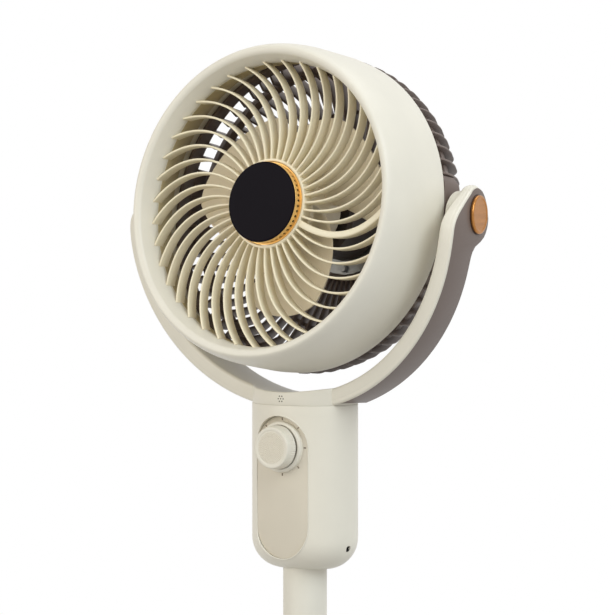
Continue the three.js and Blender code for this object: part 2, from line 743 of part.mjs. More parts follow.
// Front and rear edge of an arm at height z over the tilt axis; `low` runs from 0 at the
// axis to 1 at the hub. The front edge is a tangent of the eye that turns into the arm.
function armEdges(z, low) {
  const reach = Math.sqrt(Math.max(EYE_RADIUS ** 2 - z * z, 0));
  const slant = Math.sqrt(1 + EYE_SLANT ** 2);
  const tangent = PIVOT_Y + EYE_SLANT * z - EYE_RADIUS * slant;
  const straight = ARM_FRONT + (ARM_FRONT_LOW - ARM_FRONT) * low ** 1.6;
  const neck = ARM_REAR + (ARM_REAR_LOW - ARM_REAR) * low;
  const round = PIVOT_Y + reach - 2 * Math.max(-z - EYE_RADIUS, 0);
  const onTop = z > (EYE_RADIUS * EYE_SLANT) / slant;
  const front = onTop ? PIVOT_Y - reach : blendMax(tangent, straight, 12);
  const rear = z > 0 ? round : blendMax(round, neck, 10);
  return [front, rear];
}

// Both faces of an arm run inwards behind its front edge at the eye and downwards at the hub.
function toed(u, y, low) {
  const slope = u > (YOKE_INNER + YOKE_OUTER) / 2 ? TOE_OUTER : TOE_INNER;
  const front = ARM_FRONT + (ARM_FRONT_LOW - ARM_FRONT) * low;
  return u - (slope * (1 - low) - SAG * low) * (y - front);
}

// One side of the U as rings from the top of the eye down to `endAngle` degrees. Its front
// edge stands out to `rim`.
function armRings(side, inner, outer, rim, inset, endAngle, rounding) {
  const rings = [];
  const station = (z, angle, base, low) => {
    const [front, rear] = armEdges(z - PIVOT_Z, low);
    const f = front + inset;
    const r = Math.max(rear - inset, f + RIM_WIDTH + rounding + 1);
    const c = rounding;
    const edge = Math.min(c, RIM_WIDTH / 2);
    const corners = [
      [inner, f + c], [inner, r - c], [inner + c, r], [outer - c, r],
      [outer, r - c], [outer, f + RIM_WIDTH], [rim, f + RIM_WIDTH - 0.01], [rim, f + edge],
      [rim - edge, f], [inner + c, f],
    ];
    rings.push(corners.map(([u, y]) => {
      const v = toed(u, y, low);
      return [side * v * Math.cos(angle), y, base - v * Math.sin(angle)];
    }));
  };
  const centre = PIVOT_Z + YOKE_LIFT;
  const top = EYE_RADIUS - inset;
  for (let k = 1; k < 6; k++) {
    const z = PIVOT_Z + top * Math.cos((Math.PI / 2) * (k / 6));
    station(z, 0, z, 0);
  }
  const steps = Math.round(endAngle / 7.5);
  for (let k = 0; k <= steps; k++) {
    const angle = (rad(endAngle) * k) / steps;
    station(centre - YOKE_INNER * Math.sin(angle), angle, centre, angle / (Math.PI / 2));
  }
  return rings;
}

// Outer end of a pivot bolt, just under the sloping face of the eye.
function boltTop() {
  return YOKE_FRAME_OUTER - TOE_OUTER * (PIVOT_Y - ARM_FRONT + BOLT_HEAD) - FIT;
}

function yokeFrame() {
  const outer = YOKE_FRAME_OUTER;
  const right = armRings(1, YOKE_INNER, outer, YOKE_OUTER, 0, 90, EDGE_ROUND);
  const left = armRings(-1, YOKE_INNER, outer, YOKE_OUTER, 0, 90, EDGE_ROUND);
  const bend = loft([...right, ...left.reverse().slice(1)]);
  const a = HOUSING_A - HUB_INSET;
  const b = HOUSING_B - HUB_INSET;
  const rise = YOKE_INNER * (1 - Math.cos(Math.asin(a / YOKE_INNER))) + 2;
  const crown = PIVOT_Z + YOKE_LIFT - YOKE_INNER + rise;
  const block0 = ovalPrism(a, b, SEAM_Z + FIT, crown);
  const reach = HOUSING_A + 10;
  const middle = PIVOT_Z + YOKE_LIFT + SAG * ARM_FRONT_LOW;
  const saddle = disc(YOKE_INNER, -reach, reach, 120).rotateX(Math.PI / 2 - Math.atan(SAG));
  const hub = cut(block0, saddle.translate(0, 0, middle));
  const floor = block(-reach, reach, -reach, reach, SEAM_Z - reach, SEAM_Z + FIT);
  const flange = disc(SPINDLE_FLANGE + FIT, SEAM_Z, SEAM_Z + FIT + FLANGE_THICK + FIT);
  const wireWay = disc(SPINDLE_BORE, SEAM_Z, SEAM_Z + 6, 16);
  let frame = join(bend, hub);
  for (const side of [1, -1]) {
    const boss = barX(ARM_BOSS_RADIUS, side * ARM_BOSS_END, side * (YOKE_INNER - ARM_BOSS_SINK), 28);
    frame = join(frame, boss);
    const beyond = side * (outer + BORE_PAST);
    const bore = barX(BOLT_RADIUS + FIT, side * (ARM_BOSS_END - BORE_PAST), beyond);
    const seat = boltTop() - BOLT_HEAD_HEIGHT - FIT;
    const counter = barX(BOLT_HEAD + FIT, side * seat, beyond);
    frame = cut(frame, bore, counter);
  }
  return cut(frame, floor, flange, wireWay);
}

function yokeCover(side) {
  const inner = YOKE_FRAME_OUTER + FIT;
  const shell = loft(armRings(side, inner, YOKE_OUTER, YOKE_OUTER, COVER_INSET, COVER_END, 0.4));
  return cut(shell, onEye(disc(CAP_STEM + FIT, -8, 5), side));
}

function pivotBolt(side) {
  const headTop = boltTop();
  const headBase = headTop - BOLT_HEAD_HEIGHT;
  const tip = SHROUD_RADIUS + 2 * FIT;
  const head = barX(BOLT_HEAD, side * headBase, side * headTop, 24);
  return join(head, barX(BOLT_RADIUS, side * tip, side * (headBase + 1), 20));
}

function pivotCap(side) {
  const seat = FIT;
  const top = seat + CAP_HEIGHT;
  const stem = FIT - COVER_THICK;
  const cap = turned([
    [0, stem],
    [CAP_STEM, stem],
    [CAP_STEM, seat],
    [CAP_RADIUS, seat],
    [CAP_RADIUS, top - 1.4],
    [CAP_RADIUS - 0.5, top - 0.5],
    [CAP_RADIUS - 1.6, top],
    [0, top],
  ], 28);
  return onEye(cap, side);
}

function tiltWasher(side) {
  const outer = ARM_BOSS_END - FIT;
  const plate = ring(BOLT_RADIUS + FIT, WASHER_RADIUS, outer - WASHER_THICK, outer, 20);
  return plate.rotateY((side * Math.PI) / 2).translate(0, PIVOT_Y, PIVOT_Z);
}

// ---- Head ---------------------------------------------------------------------------------------------
function frontShroud() {
  const lipR = SHROUD_RADIUS - LIP_ROUND;
  const lipS = LIP_S - LIP_RUN;
  const lip = [];
  for (let k = 0; k <= 5; k++) {
    const angle = (Math.PI / 2) * (k / 5);
    lip.push([lipR + LIP_ROUND * Math.cos(angle), lipS + LIP_RUN * Math.sin(angle)]);
  }
  const inside = SHROUD_RADIUS - SHROUD_WALL;
  const tail = SHROUD_BACK + TAIL_LENGTH;
  return turnedHead([
    [SHROUD_RADIUS - 1, SHROUD_BACK],
    [SHROUD_RADIUS, SHROUD_BACK + 12],
    ...lip,
    [lipR - 4, LIP_S - 1.2],
    [OPENING_RADIUS + 1.5, OPENING_S + 3],
    [OPENING_RADIUS, OPENING_S],
    [OPENING_RADIUS, OPENING_S - 4],
    [OPENING_RADIUS + SHROUD_WALL, OPENING_S - 4],
    [lipR, LIP_S - SHROUD_WALL - 3],
    [inside, lipS - 2],
    [inside, tail + 2],
    [SHROUD_RADIUS - TAIL_WALL, tail],
    [SHROUD_RADIUS - TAIL_WALL, SHROUD_BACK],
    [SHROUD_RADIUS - 1, SHROUD_BACK],
  ], 48);
}

// Angle of a vane's middle at radius r, and half of the angle that its thickness fills.
function vaneAt(k, r, thick) {
  const root = HUB_RADIUS + HUB_WALL;
  const span = OPENING_RADIUS - 2 * FIT - RIM_WALL - root;
  const u = THREE.MathUtils.clamp((r - root) / span, 0, 1);
  const turn = rad(VANE_SWEEP * u ** VANE_POWER);
  const slope = rad(VANE_SWEEP * VANE_POWER * u ** (VANE_POWER - 1)) / span;
  const lean = Math.sqrt(1 + (r * slope) ** 2);
  return [rad((360 / VANES) * k + VANE_PHASE) + turn, (thick / 2 / r) * lean];
}

function frontGrille() {
  const rim = OPENING_RADIUS - 2 * FIT;
  const root = HUB_RADIUS + HUB_WALL;
  const steps = 5;
  const radii = [HUB_RADIUS + FIT];
  for (let k = 0; k <= steps; k++) radii.push(root + ((rim - RIM_WALL - root) * k) / steps);
  radii.push(rim);
  const rows = radii.length - 1;
  const place = (s) => (i, j) => {
    const k = Math.floor(i / 2);
    const thick = k === CHANNEL_AT ? CHANNEL_THICK : VANE_THICK;
    const [middle, half] = vaneAt(k, Math.max(radii[j], root), thick);
    const angle = middle + (i % 2 ? half : -half);
    return [radii[j] * Math.cos(angle), -s, radii[j] * Math.sin(angle)];
  };
  const open = (i, j) => i % 2 === 0 || j === 0 || j === rows - 1;
  return lattice(2 * VANES, rows, true, open, place(VANE_FRONT), place(VANE_FRONT - VANE_DEPTH));
}

function hubBand() {
  const back = VANE_FRONT - VANE_DEPTH;
  return turnedHead([
    [HUB_RADIUS - BAND_WALL, back],
    [HUB_RADIUS, back],
    [HUB_RADIUS, VANE_FRONT - 1],
    [BAND_RADIUS, VANE_FRONT],
    [BAND_RADIUS, BAND_FRONT],
    [BAND_RADIUS - 7, BAND_FRONT],
    [BAND_RADIUS - 7, BAND_FRONT - 1.5],
    [BAND_RADIUS - BAND_WALL - 1, BAND_FRONT - 1.5],
    [HUB_RADIUS - BAND_WALL, back],
  ], 28);
}

function hubDisc() {
  const back = BAND_FRONT + FIT;
  return turnedHead([
    [0, back],
    [DISC_RADIUS, back],
    [DISC_RADIUS, back + DISC_THICK - 0.6],
    [DISC_RADIUS - 0.6, back + DISC_THICK],
    [0, back + DISC_THICK],
  ], 28);
}

// Rear guard: a ring inside the shroud, ribs round the tapered side, a ring at the shoulder,
// ribs over the back and a ring round the motor plate.
function rearGuard() {
  const shoulder = GUARD_RADIUS - GUARD_STEP;
  const outline = [
    [GUARD_RADIUS, SHROUD_BACK + TAIL_LENGTH - 1],
    [GUARD_RADIUS, SHROUD_BACK - FIT],
    [GUARD_RADIUS, SHROUD_BACK - 4],
    [GUARD_RADIUS, (SHROUD_BACK - 4 + GUARD_SIDE_S) / 2],
    [GUARD_RADIUS - GUARD_TAPER, GUARD_SIDE_S],
    [shoulder, GUARD_SHOULDER_S],
    [(shoulder + GUARD_CENTRE) / 2, (GUARD_SHOULDER_S + GUARD_BACK_S) / 2 - 4],
    [GUARD_CENTRE, GUARD_BACK_S],
    [GUARD_HOLE, GUARD_BACK_S],
  ];
  const swell = [0, 0, 1, 0.4, 0, 0, 0, 0, 0];
  const rows = outline.length - 1;
  const ribRows = [2, 3, 5, 6];
  const point = (depth) => (i, j) => {
    const share = i % 2 ? GUARD_SHARE : 0;
    const angle = ((Math.floor(i / 2) + share) * 2 * Math.PI) / GUARD_RIBS;
    const underPad = Math.abs(Math.cos(angle)) > Math.cos(rad(PAD_ARC + PAD_MARGIN));
    const [r, s] = outline[j];
    const flat = THREE.MathUtils.clamp((GUARD_SIDE_S - s) / (GUARD_SIDE_S - GUARD_BACK_S), 0, 1);
    const rr = r + (underPad ? 0 : GUARD_SWELL * swell[j]) - depth * (j < rows - 1 ? 1 - flat : 0);
    const ss = s + depth * flat;
    return [rr * Math.cos(angle), -ss, rr * Math.sin(angle)];
  };
  const solidCell = (i, j) => i % 2 === 0 || !ribRows.includes(j);
  return lattice(2 * GUARD_RIBS, rows, true, solidCell, point(0), point(GUARD_WALL));
}

// Solid pad of the guard beside each pivot, flush with the shroud.
function guardPad(side) {
  const arc = rad(PAD_ARC);
  const steps = 6;
  const point = (r) => (i, j) => {
    const angle = arc * ((2 * i) / steps - 1);
    const s = SHROUD_BACK - FIT - PAD_LENGTH * j * (1 - 0.12 * (i === 0 || i === steps));
    return [side * r * Math.cos(angle), -s, r * Math.sin(angle)];
  };
  return lattice(steps, 1, false, () => true, point(SHROUD_RADIUS), point(GUARD_RADIUS + FIT));
}

// Low boss on the guard's pad that the pivot bolt runs in, in the head's own frame.
function pivotBoss(side) {
  const outer = ARM_BOSS_END - FIT - WASHER_THICK - TILT_PLAY;
  const at = new THREE.Vector3(0, PIVOT_Y, PIVOT_Z - HEAD_Z);
  at.applyAxisAngle(new THREE.Vector3(1, 0, 0), rad(HEAD_TILT));
  const place = (bar) => bar.rotateY((side * Math.PI) / 2).translate(0, at.y, at.z);
  const bar = place(disc(BOSS_RADIUS, SHROUD_RADIUS - 4, outer, 32));
  const reach = SHROUD_RADIUS / 2;
  const drum = disc(SHROUD_RADIUS + FIT, -reach, reach, 180).rotateX(Math.PI / 2);
  return cut(bar, drum, place(disc(BOLT_RADIUS + FIT, SHROUD_RADIUS - 8, outer + 1, 20)));
}

function motorMount() {
  const back = GUARD_BACK_S + GUARD_WALL + FIT;
  return turnedHead([
    [12, back],
    [MOUNT_RADIUS, back],
    [MOUNT_RADIUS, back + MOUNT_THICK],
    [12, back + MOUNT_THICK],
    [12, back],
  ], 24);
}

function motorCan() {
  const front = MOTOR_BACK + MOTOR_LENGTH;
  const bore = SHAFT_RADIUS + FIT;
  return turnedHead([
    [0, MOTOR_BACK],
    [MOTOR_RADIUS - 2, MOTOR_BACK],
    [MOTOR_RADIUS, MOTOR_BACK + 2],
    [MOTOR_RADIUS, front - 3],
    [MOTOR_RADIUS - 3, front],
    [MOTOR_NOSE, front],
    [MOTOR_NOSE, front + 4],
    [bore, front + 4],
    [bore, MOTOR_BACK + 8],
    [0, MOTOR_BACK + 8],
  ], 24);
}

function mountScrew(x, z) {
  const base = MOTOR_BACK;
  const profile = [[0, base], [SCREW_HEAD, base], [SCREW_HEAD, base + 3], [0, base + 3]];
  return turnedHead(profile, 12).translate(x, 0, z);
}

function rearCap() {
  const face = GUARD_BACK_S - FIT;
  return turnedHead([
    [0, face - REAR_CAP_THICK],
    [REAR_CAP_RADIUS - 4, face - REAR_CAP_THICK],
    [REAR_CAP_RADIUS, face - 1],
    [REAR_CAP_RADIUS, face],
    [GUARD_HOLE - FIT, face],
    [GUARD_HOLE - FIT, face + GUARD_WALL],
    [0, face + GUARD_WALL],
  ], 28);
}

// ---- Impeller -----------------------------------------------------------------------------------------
// One blade, wide and swept back: it rises forwards from its rear edge to its front edge.
function blade(k) {
  const spanSteps = 5;
  const chordSteps = 8;
  const root = FAN_HUB - 1;
  const point = (offset) => (i, j) => {
    const t = j / spanSteps;
    const u = i / chordSteps;
    const tip = BLADE_TIP - BLADE_CORNER * (2 * u - 1) ** 8;
    const r = root + (tip - root) * t;
    const start = BLADE_START - BLADE_START_SWEEP * Math.sin((Math.PI / 2) * t);
    const end = BLADE_END - BLADE_END_SWEEP * t;
    const angle = rad((360 / BLADES) * k + start + (end - start) * u);
    const s = BLADE_MIDDLE + BLADE_RISE * (0.75 + 0.25 * t) * (u - 0.5) + offset;
    return [r * Math.cos(angle), -s, r * Math.sin(angle)];
  };
  const all = () => true;
  return lattice(chordSteps, spanSteps, false, all, point(BLADE_THICK / 2), point(-BLADE_THICK / 2));
}

function impeller() {
  const bore = SHAFT_RADIUS + FIT;
  const wall = FAN_HUB_WALL;
  const hub = turnedHead([
    [bore, FAN_FRONT - FAN_BOSS],
    [bore, FAN_FRONT],
    [FAN_HUB - 7, FAN_FRONT],
    [FAN_HUB - 2, FAN_FRONT - 3],
    [FAN_HUB, FAN_FRONT - 9],
    [FAN_HUB, FAN_BACK],
    [FAN_HUB - wall, FAN_BACK],
    [FAN_HUB - wall, FAN_FRONT - 10],
    [SHAFT_RADIUS + 5, FAN_FRONT - 5],
    [SHAFT_RADIUS + 5, FAN_FRONT - FAN_BOSS],
    [bore, FAN_FRONT - FAN_BOSS],
  ], 24);
  const blades = [];
  for (let k = 0; k < BLADES; k++) blades.push(blade(k));
  return join(hub, ...blades);
}

function motorShaft() {
  const back = MOTOR_BACK + 10;
  const tip = FAN_FRONT + FIT + FAN_NUT_HEIGHT - 3;
  return turnedHead([[0, back], [SHAFT_RADIUS, back], [SHAFT_RADIUS, tip], [0, tip]], 16);
}

function fanNut() {
  const base = FAN_FRONT + FIT;
  const top = base + FAN_NUT_HEIGHT;
  const bore = SHAFT_RADIUS + FIT;
  return turnedHead([
    [bore, base],
    [FAN_NUT, base],
    [FAN_NUT, top - 2],
    [FAN_NUT - 2, top],
    [0, top],
    [0, top - 2],
    [bore, top - 2],
    [bore, base],
  ], 20);
}

// ---- Assembly -----------------------------------------------------------------------------------------
const fan = new THREE.Group();
const stand = new THREE.Group();
const yoke = new THREE.Group();
const head = new THREE.Group();
head.position.z = HEAD_Z;
head.rotation.x = -rad(HEAD_TILT);
yoke.add(head);
fan.add(stand, yoke);

stand.add(mesh('base_cover', baseCover(), CREAM));
stand.add(mesh('pole_collar', poleCollar(), CREAM));
stand.add(mesh('base_weight', baseWeight(), STEEL));
around(FOOT_COUNT, BASE_RADIUS - FOOT_MARGIN, rubberFoot).forEach((foot, k) => {
  stand.add(mesh(`rubber_foot_${k + 1}`, foot, RUBBER));
});
stand.add(mesh('base_screw', baseScrew(), STEEL));
stand.add(mesh('pole_lower', poleTube(FOOT_HEIGHT + WEIGHT_THICK + 2 * FIT, POLE_JOINT - FIT / 2), CREAM));
stand.add(mesh('pole_coupling', poleCoupling(), DARK));
stand.add(mesh('pole_upper', poleTube(POLE_JOINT + FIT / 2, POLE_TOP), CREAM));
stand.add(mesh('housing_shell', housingShell(), CREAM));
stand.add(mesh('housing_lid', housingLid(), CREAM));
stand.add(mesh('housing_screw_right', housingScrew(-1), STEEL));
stand.add(mesh('housing_screw_left', housingScrew(1), STEEL));
stand.add(mesh('control_panel', controlPanel(), PANEL));
stand.add(mesh('dial_collar', dialCollar(), CREAM));
stand.add(mesh('speed_knob', speedKnob(), CREAM));
stand.add(mesh('rotary_switch', rotarySwitch(), DARK));
stand.add(mesh('control_board', controlBoard(), BOARD));
stand.add(mesh('board_posts', boardPosts(), CREAM));
stand.add(mesh('power_inlet', powerInlet(), RUBBER));
stand.add(mesh('swing_motor', swingMotor(), STEEL));
stand.add(mesh('swing_pinion', swingPinion(), BRASS));
stand.add(mesh('spindle_bushing', spindleBushing(), BRASS));

yoke.add(mesh('yoke_frame', yokeFrame(), CREAM));
yoke.add(mesh('yoke_spindle', yokeSpindle(), STEEL));
yoke.add(mesh('swing_gear', swingGear(), BRASS));
yoke.add(mesh('spindle_nut', spindleNut(), STEEL));
for (const [tag, side] of [['right', 1], ['left', -1]]) {
  yoke.add(mesh(`yoke_cover_${tag}`, yokeCover(side), TAUPE));
  yoke.add(mesh(`pivot_bolt_${tag}`, pivotBolt(side), STEEL));
  yoke.add(mesh(`pivot_cap_${tag}`, pivotCap(side), COPPER));
  yoke.add(mesh(`tilt_washer_${tag}`, tiltWasher(side), DARK));
  head.add(mesh(`pivot_boss_${tag}`, pivotBoss(side), TAUPE));
  head.add(mesh(`guard_pad_${tag}`, guardPad(side), TAUPE));
}

head.add(mesh('front_shroud', frontShroud(), CREAM));
head.add(mesh('front_grille', frontGrille(), CREAM));
head.add(mesh('hub_band', hubBand(), GOLD));
head.add(mesh('hub_disc', hubDisc(), GLOSS));
head.add(mesh('rear_guard', rearGuard(), TAUPE));
head.add(mesh('motor_mount', motorMount(), STEEL));
head.add(mesh('motor_can', motorCan(), DARK));
around(MOUNT_SCREWS, MOUNT_CIRCLE, mountScrew).forEach((screw, k) => {
  head.add(mesh(`mount_screw_${k + 1}`, screw, STEEL));
});
head.add(mesh('rear_cap', rearCap(), TAUPE));
head.add(mesh('impeller', impeller(), CREAM));
head.add(mesh('motor_shaft', motorShaft(), STEEL));
head.add(mesh('fan_nut', fanNut(), DARK));

export default fan;
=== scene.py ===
"""Pedestal air circulator fan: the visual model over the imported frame.

Sizes are in millimetres on the CAD's axes (+Z up, the fan blows towards -Y) and become metres
when a mesh is made. On the head, s is the distance forwards from the pole axis.
"""

import math

import bmesh
import bpy
from mathutils import Matrix, Vector

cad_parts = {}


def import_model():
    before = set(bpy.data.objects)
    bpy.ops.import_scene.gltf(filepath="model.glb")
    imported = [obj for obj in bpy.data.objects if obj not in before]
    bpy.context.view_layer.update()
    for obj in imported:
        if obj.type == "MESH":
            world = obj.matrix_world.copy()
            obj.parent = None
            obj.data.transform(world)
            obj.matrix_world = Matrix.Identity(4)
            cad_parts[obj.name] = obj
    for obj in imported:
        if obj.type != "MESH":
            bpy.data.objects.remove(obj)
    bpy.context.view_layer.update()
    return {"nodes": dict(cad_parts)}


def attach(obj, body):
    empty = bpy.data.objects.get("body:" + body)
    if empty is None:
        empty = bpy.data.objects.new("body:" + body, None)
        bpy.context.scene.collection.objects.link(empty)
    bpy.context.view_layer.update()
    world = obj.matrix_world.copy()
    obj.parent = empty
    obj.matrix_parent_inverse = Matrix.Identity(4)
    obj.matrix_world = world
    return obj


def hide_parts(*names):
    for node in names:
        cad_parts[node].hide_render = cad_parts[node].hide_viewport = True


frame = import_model()

MM = 0.001
FIT = 0.3  # gap between neighbouring parts

# ---- Sizes: what has the CAD's name is the CAD's size, with a few values refined here ----
PIVOT_Z = 833
PIVOT_Y = 24
HEAD_Z = 833
HEAD_TILT = 9.3

# Housing, panel and pole
SEAM_Z = 668
HOUSING_FLOOR = 525
KNOB_Z = 632
HOUSING_A = 49
HOUSING_B = 39.5
HOUSING_CORNER = 27
PANEL_Y = -33
PANEL_HALF = 27
PANEL_LENGTH = 70
PANEL_THICK = 2.6
INLET_Y = -2
INLET_Z = SEAM_Z - 124
POLE_RADIUS = 19
POLE_BORE = 17.4
POLE_JOINT = 300
POLE_SINK = 40

# Base
FOOT_HEIGHT = 3.5
FOOT_RADIUS = 9
FOOT_CIRCLE = 130
FOOT_COUNT = 5
WEIGHT_THICK = 5  # of the base weight, which the pole stands on
BASE_RADIUS = 150
BASE_EDGE = 9
BASE_CROWN = 12
BASE_TOP = FOOT_HEIGHT + BASE_EDGE + BASE_CROWN
COLLAR_RADIUS = 27
COLLAR_HEIGHT = 26

# Yoke
YOKE_INNER = 159.5
YOKE_OUTER = 174
YOKE_MIDDLE = (YOKE_INNER + YOKE_OUTER) / 2
YOKE_LIFT = 4
COVER_THICK = 1.8
COVER_INSET = 2.4
RIM_WIDTH = 2
COVER_END = 73
YOKE_FRAME_OUTER = YOKE_OUTER - COVER_THICK - FIT
ARM_FRONT = -29
ARM_FRONT_LOW = -16
ARM_CURVE = 1.6  # how late the front edge moves back towards the hub
ARM_REAR = 15.5
ARM_REAR_LOW = 24
FRONT_BLEND = 12
REAR_BLEND = 10
EYE_RADIUS = 25
EYE_SLANT = 1.69  # run over drop of the front edge where it leaves the eye
TOE_INNER = 0.12  # how much an arm's inner face runs inwards behind its front edge
TOE_OUTER = 0.2
SAG = 0.1  # how much both faces run downwards behind the front edge at the hub
EDGE_ROUND = 3
HUB_INSET = 0.4
DOT_RADIUS = 0.62
DOT_PITCH = 2.5
DOTS_X = 2.6
DOTS_RISE = 5.7
CAP_RADIUS = 16.6
CAP_HEIGHT = 3
ARM_BOSS_RADIUS = 20
ARM_BOSS_END = 143.5
ARM_BOSS_ROOT = 156.5
PIVOT_BORE = 5.3

# Shroud, grille and hub
SHROUD_RADIUS = 139.5
SHROUD_BACK = -10
TAIL_WALL = 2.2
LIP_ROUND = 7
LIP_RUN = 31
LIP_S = 70
OPENING_RADIUS = 121
GRILLE_RIM = OPENING_RADIUS - 2 * FIT
VANES = 40
VANE_THICK = 1.9
VANE_DEPTH = 11
VANE_FRONT = 55
VANE_SWEEP = 22  # degrees that a vane's rim end leads its hub end
VANE_POWER = 1.9  # how late along its length a vane bends
VANE_PHASE = 2
VANE_SHY = 2  # the sweep is complete this far inside the rim
VANE_TIP_PAST = 3.6  # how far the tips run into the shroud's flare
VANE_TIP_RISE = 0.4
RISE_START = 12  # the tips begin to rise this far inside the rim
RISE_RUN = 15.2  # and rise by VANE_TIP_RISE over this
CHANNEL_THICK = 6  # the one wide vane
CHANNEL_AT = 37
HUB_RADIUS = 36
HUB_WALL = 2.8
BAND_RADIUS = 35
BAND_FRONT = 62.2
DISC_RADIUS = 34.8
DISC_THICK = 1.6

# Guard
GUARD_RADIUS = 133.6
GUARD_RIBS = 68
RIB_DEPTH = 11
RIB_THICK = 2.2
GUARD_BACK_S = -72
GUARD_CENTRE = 54
GUARD_HOLE = 30
PAD_ARC = 15  # half of its arc, in degrees
PAD_LENGTH = 24
BOSS_RADIUS = 12
WASHER_ROOM = 2
BOSS_OUTER = ARM_BOSS_END - FIT - WASHER_ROOM
REAR_CAP_RADIUS = 44
REAR_CAP_THICK = 4

# Impeller
FAN_HUB = 28
FAN_BACK = -14
FAN_FRONT = 30
FAN_WALL = 2.5
FAN_BOSS = 9
FAN_BORE = 4.3
FAN_BOSS_LENGTH = 18
BLADES = 3
BLADE_TIP = 93
BLADE_CORNER = 5
BLADE_START = 14  # angle of the rear edge at the hub
BLADE_START_SWEEP = 23  # how far that edge falls back towards the tip
BLADE_END = 128  # the same two for the front edge
BLADE_END_SWEEP = 66
BLADE_MIDDLE = 14.5
BLADE_RISE = 34
BLADE_CAMBER = 2.5

# Dial and knob
DIAL_RADIUS = 22.2
DIAL_BORE = 16.9
DIAL_DEPTH = 5
TICKS = 8
TICK_START = 22.9
TICK_END = 25.2
TICK_HALF = 0.55
KNOB_REAR = 19.1
KNOB_FRONT = 17.8
KNOB_LENGTH = 11
KNOB_FLUTES = 72
KNOB_FACE_DROP = 0.55  # the dotted face lies this far behind the rim

# ---- Placement ----
HEAD = Matrix.Translation((0, 0, HEAD_Z * MM)) @ Matrix.Rotation(math.radians(-HEAD_TILT), 4, "X")
FORWARD = HEAD @ Matrix.Rotation(math.radians(90), 4, "X")  # turned pieces: z becomes s
ON_PANEL = Matrix.Translation((0, 0, KNOB_Z * MM)) @ Matrix.Rotation(math.radians(90), 4, "X")
UPRIGHT = Matrix.Identity(4)


def sideways(side):
    """Turned pieces on the tilt axis: z becomes the distance from the middle."""
    place = Matrix.Translation((0, PIVOT_Y * MM, PIVOT_Z * MM))
    return place @ Matrix.Rotation(math.radians(90 * side), 4, "Y")


def on_eye(side):
    """Turned pieces on the sloping outer face of an eye: z becomes the height over it."""
    x = side * (YOKE_OUTER - TOE_OUTER * (PIVOT_Y - ARM_FRONT))
    place = Matrix.Translation((x * MM, PIVOT_Y * MM, PIVOT_Z * MM))
    turn = Matrix.Rotation(side * math.atan(TOE_OUTER), 4, "Z")
    return place @ turn @ Matrix.Rotation(math.radians(90 * side), 4, "Y")


# ---- Shapes ----
def circle(count):
    """Angles that share out a full turn."""
    return [2 * math.pi * i / count for i in range(count)]


def polar(radius, angle):
    """x and y at a radius and an angle."""
    return radius * math.cos(angle), radius * math.sin(angle)


def dense(path, pitch):
    """The same polyline with further points on it, about pitch apart."""
    out = []
    for a, b in zip(path, path[1:]):
        pieces = max(1, round(math.dist(a, b) / pitch))
        out += [Vector(a).lerp(Vector(b), k / pieces) for k in range(pieces)]
    return out + [Vector(path[-1])]


def linear(colour):
    """A colour as seen on screen, 0 to 255, as the linear one that Blender takes."""
    channels = [value / 255 for value in colour]
    return [c / 12.92 if c <= 0.04045 else ((c + 0.055) / 1.055) ** 2.4 for c in channels]


def filleted(corners, closed=True, steps=6):
    """[x, y, radius] corners as a polyline whose corners are rounded."""
    out = []
    count = len(corners)
    for i, (x, y, radius) in enumerate(corners):
        here = Vector((x, y))
        if not radius or (not closed and i in (0, count - 1)):
            out.append((x, y))
            continue
        before = (Vector(corners[i - 1][:2]) - here).normalized()
        after = (Vector(corners[(i + 1) % count][:2]) - here).normalized()
        opening = before.angle(after)
        middle = here + (before + after).normalized() * (radius / math.sin(opening / 2))
        reach = radius / math.tan(opening / 2)
        start = here + before * reach - middle
        end = here + after * reach - middle
        sweep = start.angle(end)
        for k in range(steps + 1):
            t = k / steps
            a = math.sin((1 - t) * sweep) / math.sin(sweep)
            b = math.sin(t * sweep) / math.sin(sweep)
            out.append(tuple(middle + start * a + end * b))
    return out


